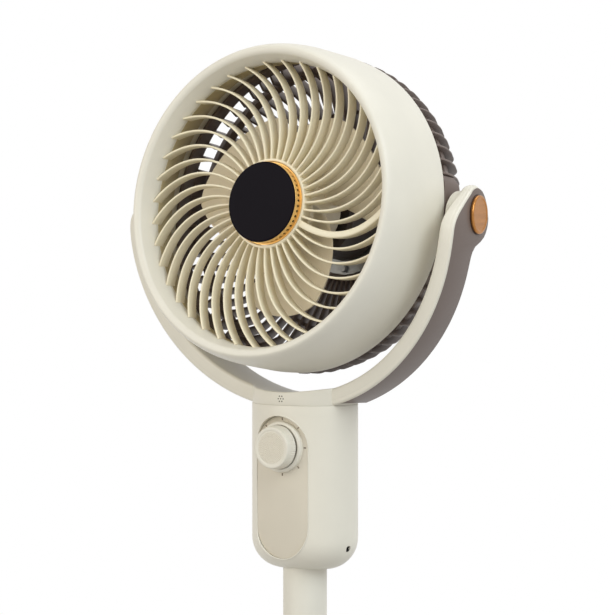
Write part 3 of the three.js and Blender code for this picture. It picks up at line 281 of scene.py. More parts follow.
class Shape:
    """Points and faces gathered from several closed parts."""

    def __init__(self):
        self.points = []
        self.faces = []

    def add(self, points, faces):
        """Takes in a closed part whose faces count its own points."""
        first = len(self.points)
        self.points.extend(points)
        self.faces.extend([[first + i for i in face] for face in faces])
        return self

    def lathe(self, profile, segments=96, wave=None):
        """Closed [radius, z] outline turned about z. wave(angle, r, z) may change the radius."""
        points = []
        rows = []
        for r, z in profile:
            if r < 1e-6:
                rows.append([len(points)] * segments)
                points.append((0, 0, z))
                continue
            rows.append([len(points) + i for i in range(segments)])
            for angle in circle(segments):
                radius = wave(angle, r, z) if wave else r
                points.append((*polar(radius, angle), z))
        faces = []
        for low, high in zip(rows, rows[1:] + rows[:1]):
            for i in range(segments):
                j = (i + 1) % segments
                face = []
                for index in (low[i], low[j], high[j], high[i]):
                    if index not in face:
                        face.append(index)
                if len(face) > 2:
                    faces.append(face)
        return self.add(points, faces)

    def hoop(self, inner, outer, low, high, rounds, segments=96, steps=6):
        """Turned ring. rounds: its corners' radii, from the inner low one by way of the outer."""
        corners = [(inner, low), (outer, low), (outer, high), (inner, high)]
        profile = filleted([(*corner, r) for corner, r in zip(corners, rounds)], steps=steps)
        return self.lathe(profile, segments)

    def loft(self, rings, capped=True):
        """Rings with the same number of points, skinned in order."""
        size = len(rings[0])
        points = [p for ring in rings for p in ring]
        faces = []
        for k in range(len(rings) - 1):
            for i in range(size):
                j = (i + 1) % size
                faces.append([k * size + i, k * size + j, (k + 1) * size + j, (k + 1) * size + i])
        if capped:
            faces.append(list(range(size))[::-1])
            faces.append([(len(rings) - 1) * size + i for i in range(size)])
        return self.add(points, faces)

    def dome(self, x, y, z, radius, height, segments=8):
        """Low round bump standing on z."""
        points = [(x, y, z + height)]
        faces = []
        for share, level in ((0.6, 0.75), (1, 0)):
            for angle in circle(segments):
                u, v = polar(radius * share, angle)
                points.append((x + u, y + v, z + height * level))
        for i in range(segments):
            j = (i + 1) % segments
            faces.append([0, 1 + i, 1 + j])
            faces.append([1 + i, 1 + segments + i, 1 + segments + j, 1 + j])
        faces.append([1 + segments + i for i in range(segments)][::-1])
        return self.add(points, faces)


def mesh(name, shape, place):
    """A Blender mesh from a Shape, with its faces turned outwards."""
    data = bpy.data.meshes.new(name)
    data.from_pydata([place @ (Vector(p) * MM) for p in shape.points], [], shape.faces)
    work = bmesh.new()
    work.from_mesh(data)
    bmesh.ops.remove_doubles(work, verts=work.verts, dist=1e-7)
    bmesh.ops.recalc_face_normals(work, faces=work.faces)
    work.to_mesh(data)
    work.free()
    return data


def put(name, data):
    """A new object in the scene."""
    thing = bpy.data.objects.new(name, data)
    bpy.context.scene.collection.objects.link(thing)
    return thing


def make(name, shape, place, material, body, stands_for=(), crease=38):
    """A Blender object from a Shape, riding on a CAD body."""
    data = mesh(name, shape, place)
    data.shade_smooth()
    data.set_sharp_from_angle(angle=math.radians(crease))
    data.materials.append(material)
    piece = put(name, data)
    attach(piece, body)
    if stands_for:
        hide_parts(*stands_for)
    return piece


def cut(piece, shape):
    """Takes a closed shape out of a piece."""
    tool = put("cutter", mesh("cutter", shape, UPRIGHT))
    modifier = piece.modifiers.new("cut", "BOOLEAN")
    modifier.operation = "DIFFERENCE"
    modifier.solver = "EXACT"
    modifier.object = tool
    depsgraph = bpy.context.evaluated_depsgraph_get()
    whole = piece.data
    piece.data = bpy.data.meshes.new_from_object(piece.evaluated_get(depsgraph))
    piece.modifiers.clear()
    bpy.data.meshes.remove(whole)
    bpy.data.objects.remove(tool)


# ---- Materials ----
def fill(node, values):
    """Sets a shader node's sockets by name."""
    for name, value in values.items():
        node.inputs[name].default_value = value


def finish(
    name, colour, roughness, *, metallic=0.0, specular=0.5, vary=0.05, rough_vary=0.05,
    cloud=28.0, grain=1400.0, relief=0.04, stretch=(1, 1, 1),
):
    """Principled material: faint clouds in colour and gloss, and a fine grain in relief."""
    material = bpy.data.materials.new(name)
    material.use_nodes = True
    tree = material.node_tree
    link = tree.links.new
    shader = tree.nodes["Principled BSDF"]
    fill(shader, {"Metallic": metallic, "Specular IOR Level": specular})
    coords = tree.nodes.new("ShaderNodeTexCoord")
    mapping = tree.nodes.new("ShaderNodeMapping")
    fill(mapping, {"Scale": stretch})
    link(coords.outputs["Object"], mapping.inputs["Vector"])

    def noise(scale, detail):
        """Noise over the stretched coordinates."""
        texture = tree.nodes.new("ShaderNodeTexNoise")
        fill(texture, {"Scale": scale, "Detail": detail})
        link(mapping.outputs["Vector"], texture.inputs["Vector"])
        return texture.outputs["Fac"]

    clouds = noise(cloud, 4)
    fine = noise(grain, 3)
    ramp = tree.nodes.new("ShaderNodeValToRGB")
    for element, factor, place in zip(ramp.color_ramp.elements, (1 - vary, 1 + vary), (0.3, 0.7)):
        element.color = (*(min(c * factor, 1) for c in linear(colour)), 1)
        element.position = place
    link(clouds, ramp.inputs["Fac"])
    link(ramp.outputs["Color"], shader.inputs["Base Color"])
    gloss = tree.nodes.new("ShaderNodeMapRange")
    fill(gloss, {
        "From Min": 0.25, "From Max": 0.75,
        "To Min": max(roughness - rough_vary, 0.02), "To Max": roughness + rough_vary,
    })
    link(fine, gloss.inputs["Value"])
    link(gloss.outputs["Result"], shader.inputs["Roughness"])
    bump = tree.nodes.new("ShaderNodeBump")
    fill(bump, {"Strength": relief, "Distance": 0.0002})
    link(fine, bump.inputs["Height"])
    link(bump.outputs["Normal"], shader.inputs["Normal"])
    return material


CREAM = finish("cream_satin", (229, 224, 210), 0.42, vary=0.02)
# Darker, yellower cream: painted shade for the shroud's throat, which is the same plastic as the shroud.
PAINTED_SHADE = finish("cream_painted_shade", (198, 183, 142), 0.6, vary=0.03)
VANE = finish("cream_vane", (240, 230, 202), 0.4, vary=0.02)
BLADE = finish("cream_blade", (240, 229, 205), 0.45, vary=0.03)
PANEL = finish("beige_panel", (219, 211, 194), 0.55, vary=0.02, grain=2600, relief=0.1)
TAUPE = finish("taupe_satin", (104, 89, 81), 0.45, vary=0.03, grain=2000, relief=0.06)
# Dark brown: the own colour of the dark inner parts, and painted shade in the gap round each copper cap.
DARK = finish("dark_brown", (62, 48, 43), 0.6, vary=0.05)
COPPER = finish(
    "copper_brushed", (174, 119, 62), 0.26, metallic=0.9, vary=0.12, grain=900, relief=0.05,
    stretch=(1, 1, 12),
)
GOLD = finish("gold_satin", (246, 202, 124), 0.34, metallic=0.7, vary=0.06, relief=0.05)
GLOSS = finish(
    "black_gloss", (22, 19, 25), 0.12, specular=0.02, vary=0.08, rough_vary=0.03, relief=0.01
)
INK = finish("tick_ink", (120, 106, 90), 0.6, vary=0.05)
# Dark brown for painted shade in holes: the hub's dots, and the sleeve seen through the band's holes.
HOLE = finish("hole_shade", (58, 40, 24), 0.8, vary=0.1)
RUBBER = finish("black_rubber", (38, 37, 37), 0.8, vary=0.1, grain=1800, relief=0.2)
STEEL = finish("zinc_steel", (172, 174, 176), 0.38, metallic=0.9, vary=0.06, relief=0.08)
CAN = finish("motor_paint", (70, 62, 58), 0.5, vary=0.06, relief=0.1)
CAST = finish("cast_iron", (72, 72, 74), 0.75, metallic=0.4, vary=0.15, grain=700, relief=0.35)
TUBE = finish("cream_powder", (228, 224, 211), 0.48, vary=0.02, grain=2400, relief=0.12)
BOARD = finish("board_green", (46, 104, 68), 0.5, vary=0.12, cloud=160)
BRASS = finish("machined_brass", (196, 164, 92), 0.35, metallic=0.85, vary=0.06)


# ---- Head: shroud and grille ----
def shroud():
    """Nearly cylindrical shroud with a rolled front lip, and a thin sheet of painted shade in its throat.
    """
    crest = SHROUD_RADIUS - LIP_ROUND
    start = LIP_S - LIP_RUN
    tail = SHROUD_RADIUS - TAIL_WALL
    throat = VANE_FRONT - 18
    drum = 12  # where the throat has opened to the full width
    back = filleted([
        (tail, SHROUD_BACK, 0.4), (SHROUD_RADIUS - 1, SHROUD_BACK, 0.5),
        (SHROUD_RADIUS, SHROUD_BACK + 12, 60), (SHROUD_RADIUS, start - 2, 0),
    ], closed=False)
    lip = []
    for degrees in range(0, 95, 5):
        angle = math.radians(degrees)
        lip.append((crest + LIP_ROUND * math.cos(angle), start + LIP_RUN * math.sin(angle)))
    inside = filleted([
        (crest, LIP_S, 0), (crest - 4.5, LIP_S - 0.5, 5),
        (OPENING_RADIUS + 3.9, VANE_FRONT + 4, 9), (OPENING_RADIUS + 2.2, VANE_FRONT - 4, 7),
        (OPENING_RADIUS + 2.6, throat, 10), (SHROUD_RADIUS - 3.4, drum, 20),
        (SHROUD_RADIUS - 3.2, drum - 4, 0.6), (tail, SHROUD_BACK + 1, 0),
    ], closed=False, steps=8)
    shape = Shape().lathe(back[1:] + lip + inside[1:], 256)
    make("shroud", shape, FORWARD, CREAM, "head", ["front_shroud"], crease=50)
    front = VANE_FRONT - 7
    rear = drum + 0.5
    # Thin sheet just inside the throat wall, in the darker cream: painted shade.
    shade_sheet = Shape().lathe([
        (OPENING_RADIUS + 2.1, front), (OPENING_RADIUS + 2.4, throat), (SHROUD_RADIUS - 3.9, rear),
        (SHROUD_RADIUS - 3, rear), (OPENING_RADIUS + 4, throat), (OPENING_RADIUS + 4, front),
    ], 192)
    make("shroud_painted_shade", shade_sheet, FORWARD, PAINTED_SHADE, "head")


def vane_angle(k, r):
    """Middle of a vane at radius r, and how fast its angle turns with r."""
    root = HUB_RADIUS + HUB_WALL
    span = GRILLE_RIM - VANE_SHY - root
    u = max((r - root) / span, 0)
    angle = math.radians(360 / VANES * k + VANE_PHASE + VANE_SWEEP * u**VANE_POWER)
    slope = math.radians(VANE_SWEEP * VANE_POWER * u ** (VANE_POWER - 1)) / span
    return angle, slope


def vane_section(thick):
    """Outline across a vane as (offset, s): a rounded front and a slimmer back."""
    back = VANE_FRONT - VANE_DEPTH
    slim = 0.36 * thick
    nose = min(thick / 2, 1.4) * 0.96
    return filleted([
        (-thick / 2, VANE_FRONT, nose), (-slim, back, 0.3), (slim, back, 0.3),
        (thick / 2, VANE_FRONT, nose),
    ], steps=4)


def grille():
    """Vanes from the hub ring to the shroud, one of them wide."""
    shape = Shape()
    root = HUB_RADIUS + 1.2
    tip = GRILLE_RIM + VANE_TIP_PAST
    steps = 22
    for k in range(VANES):
        section = vane_section(CHANNEL_THICK if k == CHANNEL_AT else VANE_THICK)
        rings = []
        for n in range(steps + 1):
            r = root + (tip - root) * n / steps
            rise = VANE_TIP_RISE * max(0, (r - GRILLE_RIM + RISE_START) / RISE_RUN) ** 2
            angle, slope = vane_angle(k, r)
            out = Vector(polar(1, angle))
            along = out + Vector((-out.y, out.x)) * (r * slope)
            across = Vector((-along.y, along.x)).normalized()
            ring = []
            for width, s in section:
                front = s > VANE_FRONT - 4
                ring.append((*(out * r + across * width), s + rise * front))
            rings.append(ring)
        shape.loft(rings)
    shape.hoop(
        HUB_RADIUS + FIT, HUB_RADIUS + HUB_WALL, VANE_FRONT - VANE_DEPTH, VANE_FRONT + 0.4,
        (0.3, 0.4, 1.2, 0.8), 144,
    )
    make("grille", shape, FORWARD, VANE, "head", ["front_grille"], crease=50)


def hub_band():
    """Gold band with a row of oblong holes, closed behind by a sleeve in painted shade."""
    holes = 48
    cells = 8  # columns of faces for each hole
    cols = holes * cells
    wall = 0.9
    front = BAND_FRONT - 0.6
    levels = [VANE_FRONT + rise for rise in (-0.9, 1.5, 2.1, 3.9, 4.5)] + [front]

    def is_open(i, j):
        """The hole's middle row is 4 cells wide, the rows beside it 2."""
        cell = i % cells
        return (j == 2 and 2 <= cell <= 5) or (j in (1, 3) and 3 <= cell <= 4)

    shape = Shape()
    points = []
    index = {}
    for layer, radius in enumerate((BAND_RADIUS, BAND_RADIUS - wall)):
        for j, s in enumerate(levels):
            for i, angle in enumerate(circle(cols)):
                index[layer, i, j] = len(points)
                points.append((*polar(radius, angle), s))
    faces = []
    rows = len(levels) - 1
    for j in range(rows):
        for i in range(cols):
            if is_open(i, j):
                continue
            corners = [(i, j), ((i + 1) % cols, j), ((i + 1) % cols, j + 1), (i, j + 1)]
            faces.append([index[0, *corner] for corner in corners])
            faces.append([index[1, *corner] for corner in corners[::-1]])
            ends = (j == 0 or is_open(i, j - 1), j == rows - 1 or is_open(i, j + 1))
            for n, bare in enumerate((ends[0], is_open(i + 1, j), ends[1], is_open(i - 1, j))):
                if bare:
                    a, b = corners[n], corners[(n + 1) % 4]
                    faces.append([index[0, *b], index[0, *a], index[1, *a], index[1, *b]])
    shape.add(points, faces)
    shape.hoop(
        BAND_RADIUS - 1.2, BAND_RADIUS, front - 0.2, BAND_FRONT + 0.1, (0.1, 0.25, 0.25, 0.1), 144, 3
    )
    shape.hoop(
        BAND_RADIUS - 1, HUB_RADIUS - 0.1, VANE_FRONT - 1.4, VANE_FRONT - 0.1, (0.1, 0.3, 0.4, 0.1), 144, 3
    )
    make("gold_band", shape, FORWARD, GOLD, "head", ["hub_band"])
    # The sleeve's dark colour is painted shade, seen through the band's holes.
    bore = HUB_RADIUS - 6
    root = HUB_RADIUS - 2
    neck = BAND_RADIUS - wall - 0.6
    back = VANE_FRONT - VANE_DEPTH
    sleeve = Shape().lathe(filleted([
        (bore, back, 0.3), (root, back, 0.3), (root, VANE_FRONT + 1, 0.3), (neck, VANE_FRONT + 1.4, 0.3),
        (neck, BAND_FRONT - 0.4, 0.3), (bore, BAND_FRONT - 0.4, 0.3),
    ], steps=3))
    make("band_sleeve", sleeve, FORWARD, HOLE, "head")


def hub_disc():
    """Glossy disc on the band, very slightly crowned."""
    back = BAND_FRONT + FIT
    top = back + DISC_THICK
    profile = filleted([
        (0, back, 0), (DISC_RADIUS - 0.2, back, 0), (DISC_RADIUS, top - 0.9, 0),
        (DISC_RADIUS - 0.1, top - 0.3, 0.5), (DISC_RADIUS - 1.4, top, 0.6), (0, top + 0.25, 0),
    ], closed=False)
    disc = Shape().lathe(profile, 144)
    make("hub_disc_gloss", disc, FORWARD, GLOSS, "head", ["hub_disc"], crease=60)


# ---- Head: rear guard ----
def guard_path():
    """Outer outline of the guard as (r, s), from the shroud to the centre ring."""
    return filleted([
        (GUARD_RADIUS + 4.4, -11, 0), (GUARD_RADIUS + 5, -15, 4), (GUARD_RADIUS + 4, -27, 30),
        (GUARD_RADIUS - 0.5, -41, 30), (GUARD_RADIUS - 9.5, -58, 14), (88, GUARD_BACK_S + 3, 60),
        (GUARD_CENTRE - 3, GUARD_BACK_S, 0),
    ], closed=False, steps=5)


def guard_ring(shape, path, start, end, depth, sunk=0):
    """Ring along a stretch of the outline, reaching inwards from sunk to depth behind it."""
    lengths = [0]
    for a, b in zip(path, path[1:]):
        lengths.append(lengths[-1] + math.dist(a, b))

    def at(share):
        """Point at a fraction of the outline, and the direction inwards there."""
        target = share * lengths[-1]
        k = next(k for k in range(len(path) - 1) if lengths[k + 1] >= target)
        a, b = Vector(path[k]), Vector(path[k + 1])
        run = (b - a).normalized()
        return a.lerp(b, (target - lengths[k]) / (lengths[k + 1] - lengths[k])), Vector((run.y, -run.x))

    stops = [at(start + (end - start) * k / 4) for k in range(5)]
    outer = [point + inward * sunk for point, inward in stops]
    inner = [point + inward * depth for point, inward in stops]
    shape.lathe(outer + inner[::-1], 180)


def guard():
    """Slotted side wall and back: ribs along the outline and the rings that join them."""
    shape = Shape()
    path = guard_path()
    spine = dense(path, 5)
    half = RIB_THICK / 2
    for start in circle(GUARD_RIBS):
        rings = []
        for n, point in enumerate(spine):
            run = (spine[min(n + 1, len(spine) - 1)] - spine[max(n - 1, 0)]).normalized()
            inward = Vector((run.y, -run.x))
            reach = RIB_DEPTH * min(1, 0.45 + point.x / 180)  # shallower towards the middle
            section = filleted([
                (0, -half, 0.7), (reach, -half, 0.5), (reach, half, 0.5), (0, half, 0.7),
            ], steps=2)
            ring = []
            for depth, offset in section:
                spot = point + inward * depth
                ring.append((*polar(spot.x, start + offset / point.x), spot.y))
            rings.append(ring)
        shape.loft(rings)
    front = 6.5
    rear = SHROUD_BACK - 0.5
    shape.lathe(filleted([
        (GUARD_RADIUS + 2, front, 0.8), (GUARD_RADIUS + 3.2, rear, 0.8), (GUARD_RADIUS + 0.6, rear, 0.8),
        (GUARD_RADIUS - 1, front, 0.8),
    ], steps=3), 192)
    guard_ring(shape, path, 0.105, 0.185, 10, 5.5)
    guard_ring(shape, path, 0.6, 0.625, 5)
    shape.hoop(GUARD_HOLE, GUARD_CENTRE, GUARD_BACK_S, GUARD_BACK_S + 5, (1, 1, 1, 1), 120, 3)
    make("guard", shape, FORWARD, TAUPE, "head", ["rear_guard"], crease=45)


def guard_pad(side, name):
    """Solid cheek of the guard beside a pivot, flush with the shroud."""
    steps = 20
    inner = GUARD_RADIUS + FIT
    front = SHROUD_BACK - FIT
    rings = []
    for k in range(steps + 1):
        u = 2 * k / steps - 1
        angle = math.radians(PAD_ARC) * u
        rear = front - PAD_LENGTH * (1 - 0.12 * abs(u) ** 6)
        edge = 2.2 * max(abs(u) - 0.8, 0) / 0.2
        section = filleted([
            (SHROUD_RADIUS - edge, front, 0.6), (SHROUD_RADIUS - edge * 1.2, rear, 2.2), (inner, rear, 0.5),
            (inner, front, 0.5),
        ], steps=4)
        ring = []
        for r, s in section:
            x, y = polar(r, angle)
            ring.append((side * x, y, s))
        rings.append(ring)
    shape = Shape().loft(rings)
    make(f"cheek_{name}", shape, FORWARD, TAUPE, "head", [f"guard_pad_{name}"])


def rear_cap():
    """Back cover with five shallow grooves round its middle."""
    face = GUARD_BACK_S - FIT
    top = face - REAR_CAP_THICK
    seat = GUARD_HOLE - FIT
    groove = top + 0.6
    profile = [(0, top + 0.8), (8, top + 0.8), (9, top)]
    for r in range(14, 39, 5):
        profile += [(r - 0.9, top), (r - 0.5, groove), (r + 0.5, groove), (r + 0.9, top)]
    profile += filleted([
        (34.9, top, 0), (REAR_CAP_RADIUS - 1.5, top, 2.4), (REAR_CAP_RADIUS, face, 0.4),
        (seat, face, 0.3), (seat, face + 3, 0.3), (0, face + 3, 0),
    ], closed=False)[1:]
    cap = Shape().lathe(profile, 120)
    make("back_cover", cap, FORWARD, TAUPE, "head", ["rear_cap"], crease=30)


def pivot_boss(side, name):
    """Round boss between the shroud and the washer at an arm."""
    shape = Shape().hoop(
        PIVOT_BORE, BOSS_RADIUS, SHROUD_RADIUS - 2, BOSS_OUTER, (0.2, 0.2, 0.6, 0.3), 72
    )
    stands_for = [f"pivot_boss_{name}"]
    make(f"head_boss_{name}", shape, sideways(side), TAUPE, "head", stands_for)


# ---- Impeller ----
def blade(shape, k):
    """Wide swept blade that rises forwards from its rear edge to its front edge."""
    chord = 30
    span = 18
    root = FAN_HUB - 1
    points = []
    for layer in (1, -1):
        for j in range(span + 1):
            t = j / span
            start = BLADE_START - BLADE_START_SWEEP * math.sin(math.pi / 2 * t)
            end = BLADE_END - BLADE_END_SWEEP * t
            for i in range(chord + 1):
                u = i / chord
                tip = BLADE_TIP - BLADE_CORNER * (2 * u - 1) ** 8
                angle = math.radians(360 / BLADES * k + start + (end - start) * u)
                edge = min(u, 1 - u, (1 - t) * 1.2 + 0.02) / 0.06
                thick = math.sqrt(1 - (1 - min(edge, 1)) ** 2) + 0.15
                camber = BLADE_CAMBER * math.sin(math.pi * u) - 1.2
                rise = BLADE_RISE * (0.75 + 0.25 * t)
                s = BLADE_MIDDLE + rise * (u - 0.5) + camber + layer * thick
                points.append((*polar(root + (tip - root) * t, angle), s))
    stride = chord + 1
    back = stride * (span + 1)
    faces = []
    for j in range(span):
        for i in range(chord):
            a = j * stride + i
            faces.append([a, a + 1, a + stride + 1, a + stride])
            faces.append([back + a, back + a + stride, back + a + stride + 1, back + a + 1])
    for i in range(chord):
        for a in (i, span * stride + i):
            faces.append([a, a + 1, back + a + 1, back + a])
    for j in range(span):
        for a in (j * stride, j * stride + chord):
            faces.append([a, a + stride, back + a + stride, back + a])
    shape.add(points, faces)


def impeller():
    """Cup-shaped hub with a bored boss inside it, and its blades."""
    shape = Shape()
    for k in range(BLADES):
        blade(shape, k)
    boss_end = FAN_FRONT - FAN_BOSS_LENGTH
    cup = FAN_HUB - FAN_WALL
    shape.lathe(filleted([
        (FAN_BORE, boss_end, 0.3), (FAN_BORE, FAN_FRONT, 0.3), (FAN_HUB, FAN_FRONT, 7),
        (FAN_HUB, FAN_BACK, 0.8), (cup, FAN_BACK, 0.8), (cup, FAN_FRONT - 10, 1),
        (FAN_BOSS, FAN_FRONT - 5, 1), (FAN_BOSS, boss_end, 0.5),
    ]))
    make("fan_wheel", shape, FORWARD, BLADE, "impeller_unit", ["impeller"], crease=45)


# ---- Yoke ----
def blend_max(a, b, k):
    """The larger of two values, blended smoothly where they are within about k."""
    return (a + b + math.sqrt((a - b) ** 2 + k * k)) / 2


def arm_edges(z, low):
    """Front and rear edge of an arm at height z over the tilt axis; low is 0 there, 1 at the hub."""
    reach = math.sqrt(max(EYE_RADIUS**2 - z * z, 0))
    slant = math.hypot(1, EYE_SLANT)
    tangent = PIVOT_Y + EYE_SLANT * z - EYE_RADIUS * slant
    straight = ARM_FRONT + (ARM_FRONT_LOW - ARM_FRONT) * low**ARM_CURVE
    neck = ARM_REAR + (ARM_REAR_LOW - ARM_REAR) * low
    curve = PIVOT_Y + reach - 2 * max(-z - EYE_RADIUS, 0)
    on_top = z > EYE_RADIUS * EYE_SLANT / slant
    front = PIVOT_Y - reach if on_top else blend_max(tangent, straight, FRONT_BLEND)
    rear = curve if z > 0 else blend_max(curve, neck, REAR_BLEND)
    return front, rear


def toed(u, y, low):
    """Both faces of an arm run inwards behind its front edge at the eye, downwards at the hub."""
    slope = TOE_OUTER if u > YOKE_MIDDLE else TOE_INNER
    front = ARM_FRONT + (ARM_FRONT_LOW - ARM_FRONT) * low
    return u - (slope * (1 - low) - SAG * low) * (y - front)


def arm_outline(end_angle):
    """Stations (drop, front, rear) from the top of the eye down; drop is measured along the arm."""
    stations = []
    steps = 25
    for k in range(1, steps):
        z = EYE_RADIUS * math.cos(math.pi / 2 * k / steps)
        stations.append((YOKE_LIFT - z, *arm_edges(z, 0)))
    steps = round(end_angle * 0.8)
    for k in range(steps + 1):
        angle = math.radians(end_angle) * k / steps
        z = YOKE_LIFT - YOKE_INNER * math.sin(angle)
        stations.append((YOKE_MIDDLE * angle, *arm_edges(z, math.degrees(angle) / 90)))
    return [s for n, s in enumerate(stations) if n == 0 or s[0] > stations[n - 1][0] + 0.05]


def inset_pairs(stations, distance):
    """Outline moved inwards by distance, as pairs of a front and a rear point."""
    chain = [(f, d) for d, f, r in stations][::-1] + [(r, d) for d, f, r in stations]
    chain = [Vector(point) for point in chain]
    last = len(chain) - 1
    moved = []
    for n, here in enumerate(chain):
        run = (chain[min(n + 1, last)] - chain[max(n - 1, 0)]).normalized()
        normal = Vector((-run.y, run.x))
        if n in (0, last):  # the last station stays on its line
            normal = Vector((-1 if n else 1, 0))
        moved.append(here + normal * distance)
    half = len(stations)
    return list(zip(moved[:half][::-1], moved[half:]))


def bent(side, u, drop, y):
    """A point of an arm, u from the middle of the U and drop along it, as x, y, z."""
    centre = PIVOT_Z + YOKE_LIFT
    if drop <= 0:
        return (side * toed(u, y, 0), y, centre - drop)
    angle = drop / YOKE_MIDDLE
    reach = toed(u, y, angle / (math.pi / 2))
    return (side * reach * math.cos(angle), y, centre - reach * math.sin(angle))


def arm_rings(side, inner, outer, rounding, stations, steps=5):
    """Rings of one arm: rounded edges run round the outline on both faces."""
    levels = []
    for k in range(steps + 1):
        turn = math.pi / 2 * k / steps
        levels.append((rounding * (1 - math.sin(turn)), rounding * (1 - math.cos(turn))))
    pairs = [inset_pairs(stations, inset) for inset, _ in levels]
    corners = ((0, inner, 1), (1, inner, 1), (1, outer, -1), (0, outer, -1))
    orders = (range(steps, -1, -1), range(steps + 1)) * 2
    rings = []
    for n in range(len(stations)):
        ring = []
        for (which, face, way), order in zip(corners, orders):
            for k in order:
                point = pairs[k][n][which]
                ring.append(bent(side, face + way * levels[k][1], point.y, point.x))
        rings.append(ring)
    return rings


def rim_rings(side, stations):
    """Rings of the raised front edge of an arm, flush with the cover behind it."""
    middle = (YOKE_INNER + YOKE_FRAME_OUTER) / 2
    section = filleted([
        (middle, 0.35, 0), (YOKE_OUTER, 0, 2.4), (YOKE_OUTER, RIM_WIDTH, 0.4), (middle, RIM_WIDTH, 0),
    ], steps=5)
    rings = []
    for edge, behind in zip(inset_pairs(stations, 0), inset_pairs(stations, 1)):
        front = edge[0]
        run = behind[0] - front
        rings.append([bent(side, u, (front + run * d).y, (front + run * d).x) for u, d in section])
    return rings


def yoke():
    """The U of both arms with its raised rim, the bosses at the pivots and the hub block."""
    shape = Shape()
    stations = arm_outline(90)
    arms = [arm_rings(side, YOKE_INNER, YOKE_FRAME_OUTER, EDGE_ROUND, stations) for side in (1, -1)]
    rims = [rim_rings(side, stations) for side in (1, -1)]
    for right, left in (arms, rims):
        shape.loft(right + left[::-1][1:])
    boss = Shape().hoop(PIVOT_BORE, ARM_BOSS_RADIUS, ARM_BOSS_END, ARM_BOSS_ROOT, (0.3, 1.2, 0.2, 0.2))
    pivot = Vector((0, PIVOT_Y, PIVOT_Z))
    for side in (1, -1):
        turn = Matrix.Rotation(math.radians(90 * side), 4, "Y")
        shape.add([turn @ Vector(p) + pivot for p in boss.points], boss.faces)

    def top(x, y):
        """Height just under the inner face of the U."""
        fall = math.sqrt((YOKE_INNER + 0.15) ** 2 - x * x) + SAG * (y - ARM_FRONT_LOW)
        return PIVOT_Z + YOKE_LIFT - fall

    rings = []
    for inset, rise in ((0.3, 0.05), (0.08, 0.11), (0, 0.3)):
        rings.append(oval(HUB_INSET + inset, SEAM_Z + rise, 144))
    for inset, drop in ((0, 1.2), (0.3, 0.5), (1, 0.05), (2.5, 0), (8, 0), (16, 0), (26, 0), (36, 0)):
        rings.append([(x, y, top(x, y) - drop) for x, y, _ in oval(HUB_INSET + inset, 0, 144)])
    shape.loft(rings)
    make("yoke_shell", shape, UPRIGHT, CREAM, "yoke", ["yoke_frame"], crease=40)


def speaker_dots():
    """Seven small holes on the front of the hub, a little right of its middle, drawn as flush dark discs:
    painted shade.
    """
    shape = Shape()
    for u, v in [(0, 0)] + [polar(DOT_PITCH, angle) for angle in circle(6)]:
        x = u + DOTS_X
        z = v + SEAM_Z + DOTS_RISE
        y = -(HOUSING_B - HUB_INSET) * math.sqrt(1 - (x / (HOUSING_A - HUB_INSET)) ** 2)
        rim = [polar(DOT_RADIUS, angle) for angle in circle(16)]
        shape.loft([[(x + dx, y + depth, z + dz) for dx, dz in rim] for depth in (0.7, -0.03)])
    make("hub_dots", shape, UPRIGHT, HOLE, "yoke")


def yoke_cover(side, name):
    """Cover on the outer face of an arm, behind its rim."""
    inner = YOKE_FRAME_OUTER + FIT
    pairs = inset_pairs(arm_outline(COVER_END), COVER_INSET)
    stations = [((f.y + r.y) / 2, f.x, r.x) for f, r in pairs]
    shape = Shape().loft(arm_rings(side, inner, YOKE_OUTER, 0.8, stations, steps=3))
    stands_for = [f"yoke_cover_{name}"]
    make(f"arm_cover_{name}", shape, UPRIGHT, TAUPE, "yoke", stands_for)


def pivot_cap(side, name):
    """Copper cap with a raised edge on an eye, and a dark ring round its foot: painted shade in the gap
    there.
    """
    seat = 0.1
    top = FIT + CAP_HEIGHT
    shape = Shape().lathe(filleted([
        (0, seat, 0), (CAP_RADIUS - 0.6, seat, 0), (CAP_RADIUS, seat + 0.7, 0.5),
        (CAP_RADIUS, top - 0.2, 1.3), (CAP_RADIUS - 2.4, top, 0.8),
        (CAP_RADIUS - 3.2, top - 0.5, 0.6), (0, top - 0.3, 0),
    ], closed=False), 120)
    stands_for = [f"pivot_cap_{name}"]
    make(f"copper_cap_{name}", shape, on_eye(side), COPPER, "yoke", stands_for, crease=45)
    # Dark ring on the eye round the cap's foot: painted shade in the gap.
    gap = Shape().hoop(CAP_RADIUS - 2, CAP_RADIUS + 0.7, -0.5, 0.25, (0, 0, 0.2, 0), steps=3)
    make(f"cap_gap_shade_{name}", gap, on_eye(side), DARK, "yoke")


# ---- Stand ----
def oval(inset, z, segments=160):
    """Ring round the housing's oval, moved inwards by inset."""
    a = HOUSING_A - inset
    b = HOUSING_B - inset
    return [(a * math.cos(angle), b * math.sin(angle), z) for angle in circle(segments)]


def stadium_outline(half, steps=40):
    """The panel's outline about the middle of the knob: two half circles and two straights."""
    points = []
    for k in range(2 * steps + 2):
        low = k > steps
        x, z = polar(half, math.pi * (k - low) / steps)
        points.append((x, z - PANEL_LENGTH * low))
    return points


def inlet_outline(half_y, half_z, corner):
    """The inlet's oblong outline as (y, z)."""
    signs = ((-1, -1), (1, -1), (1, 1), (-1, 1))
    return filleted([(INLET_Y + y * half_y, INLET_Z + z * half_z, corner) for y, z in signs])


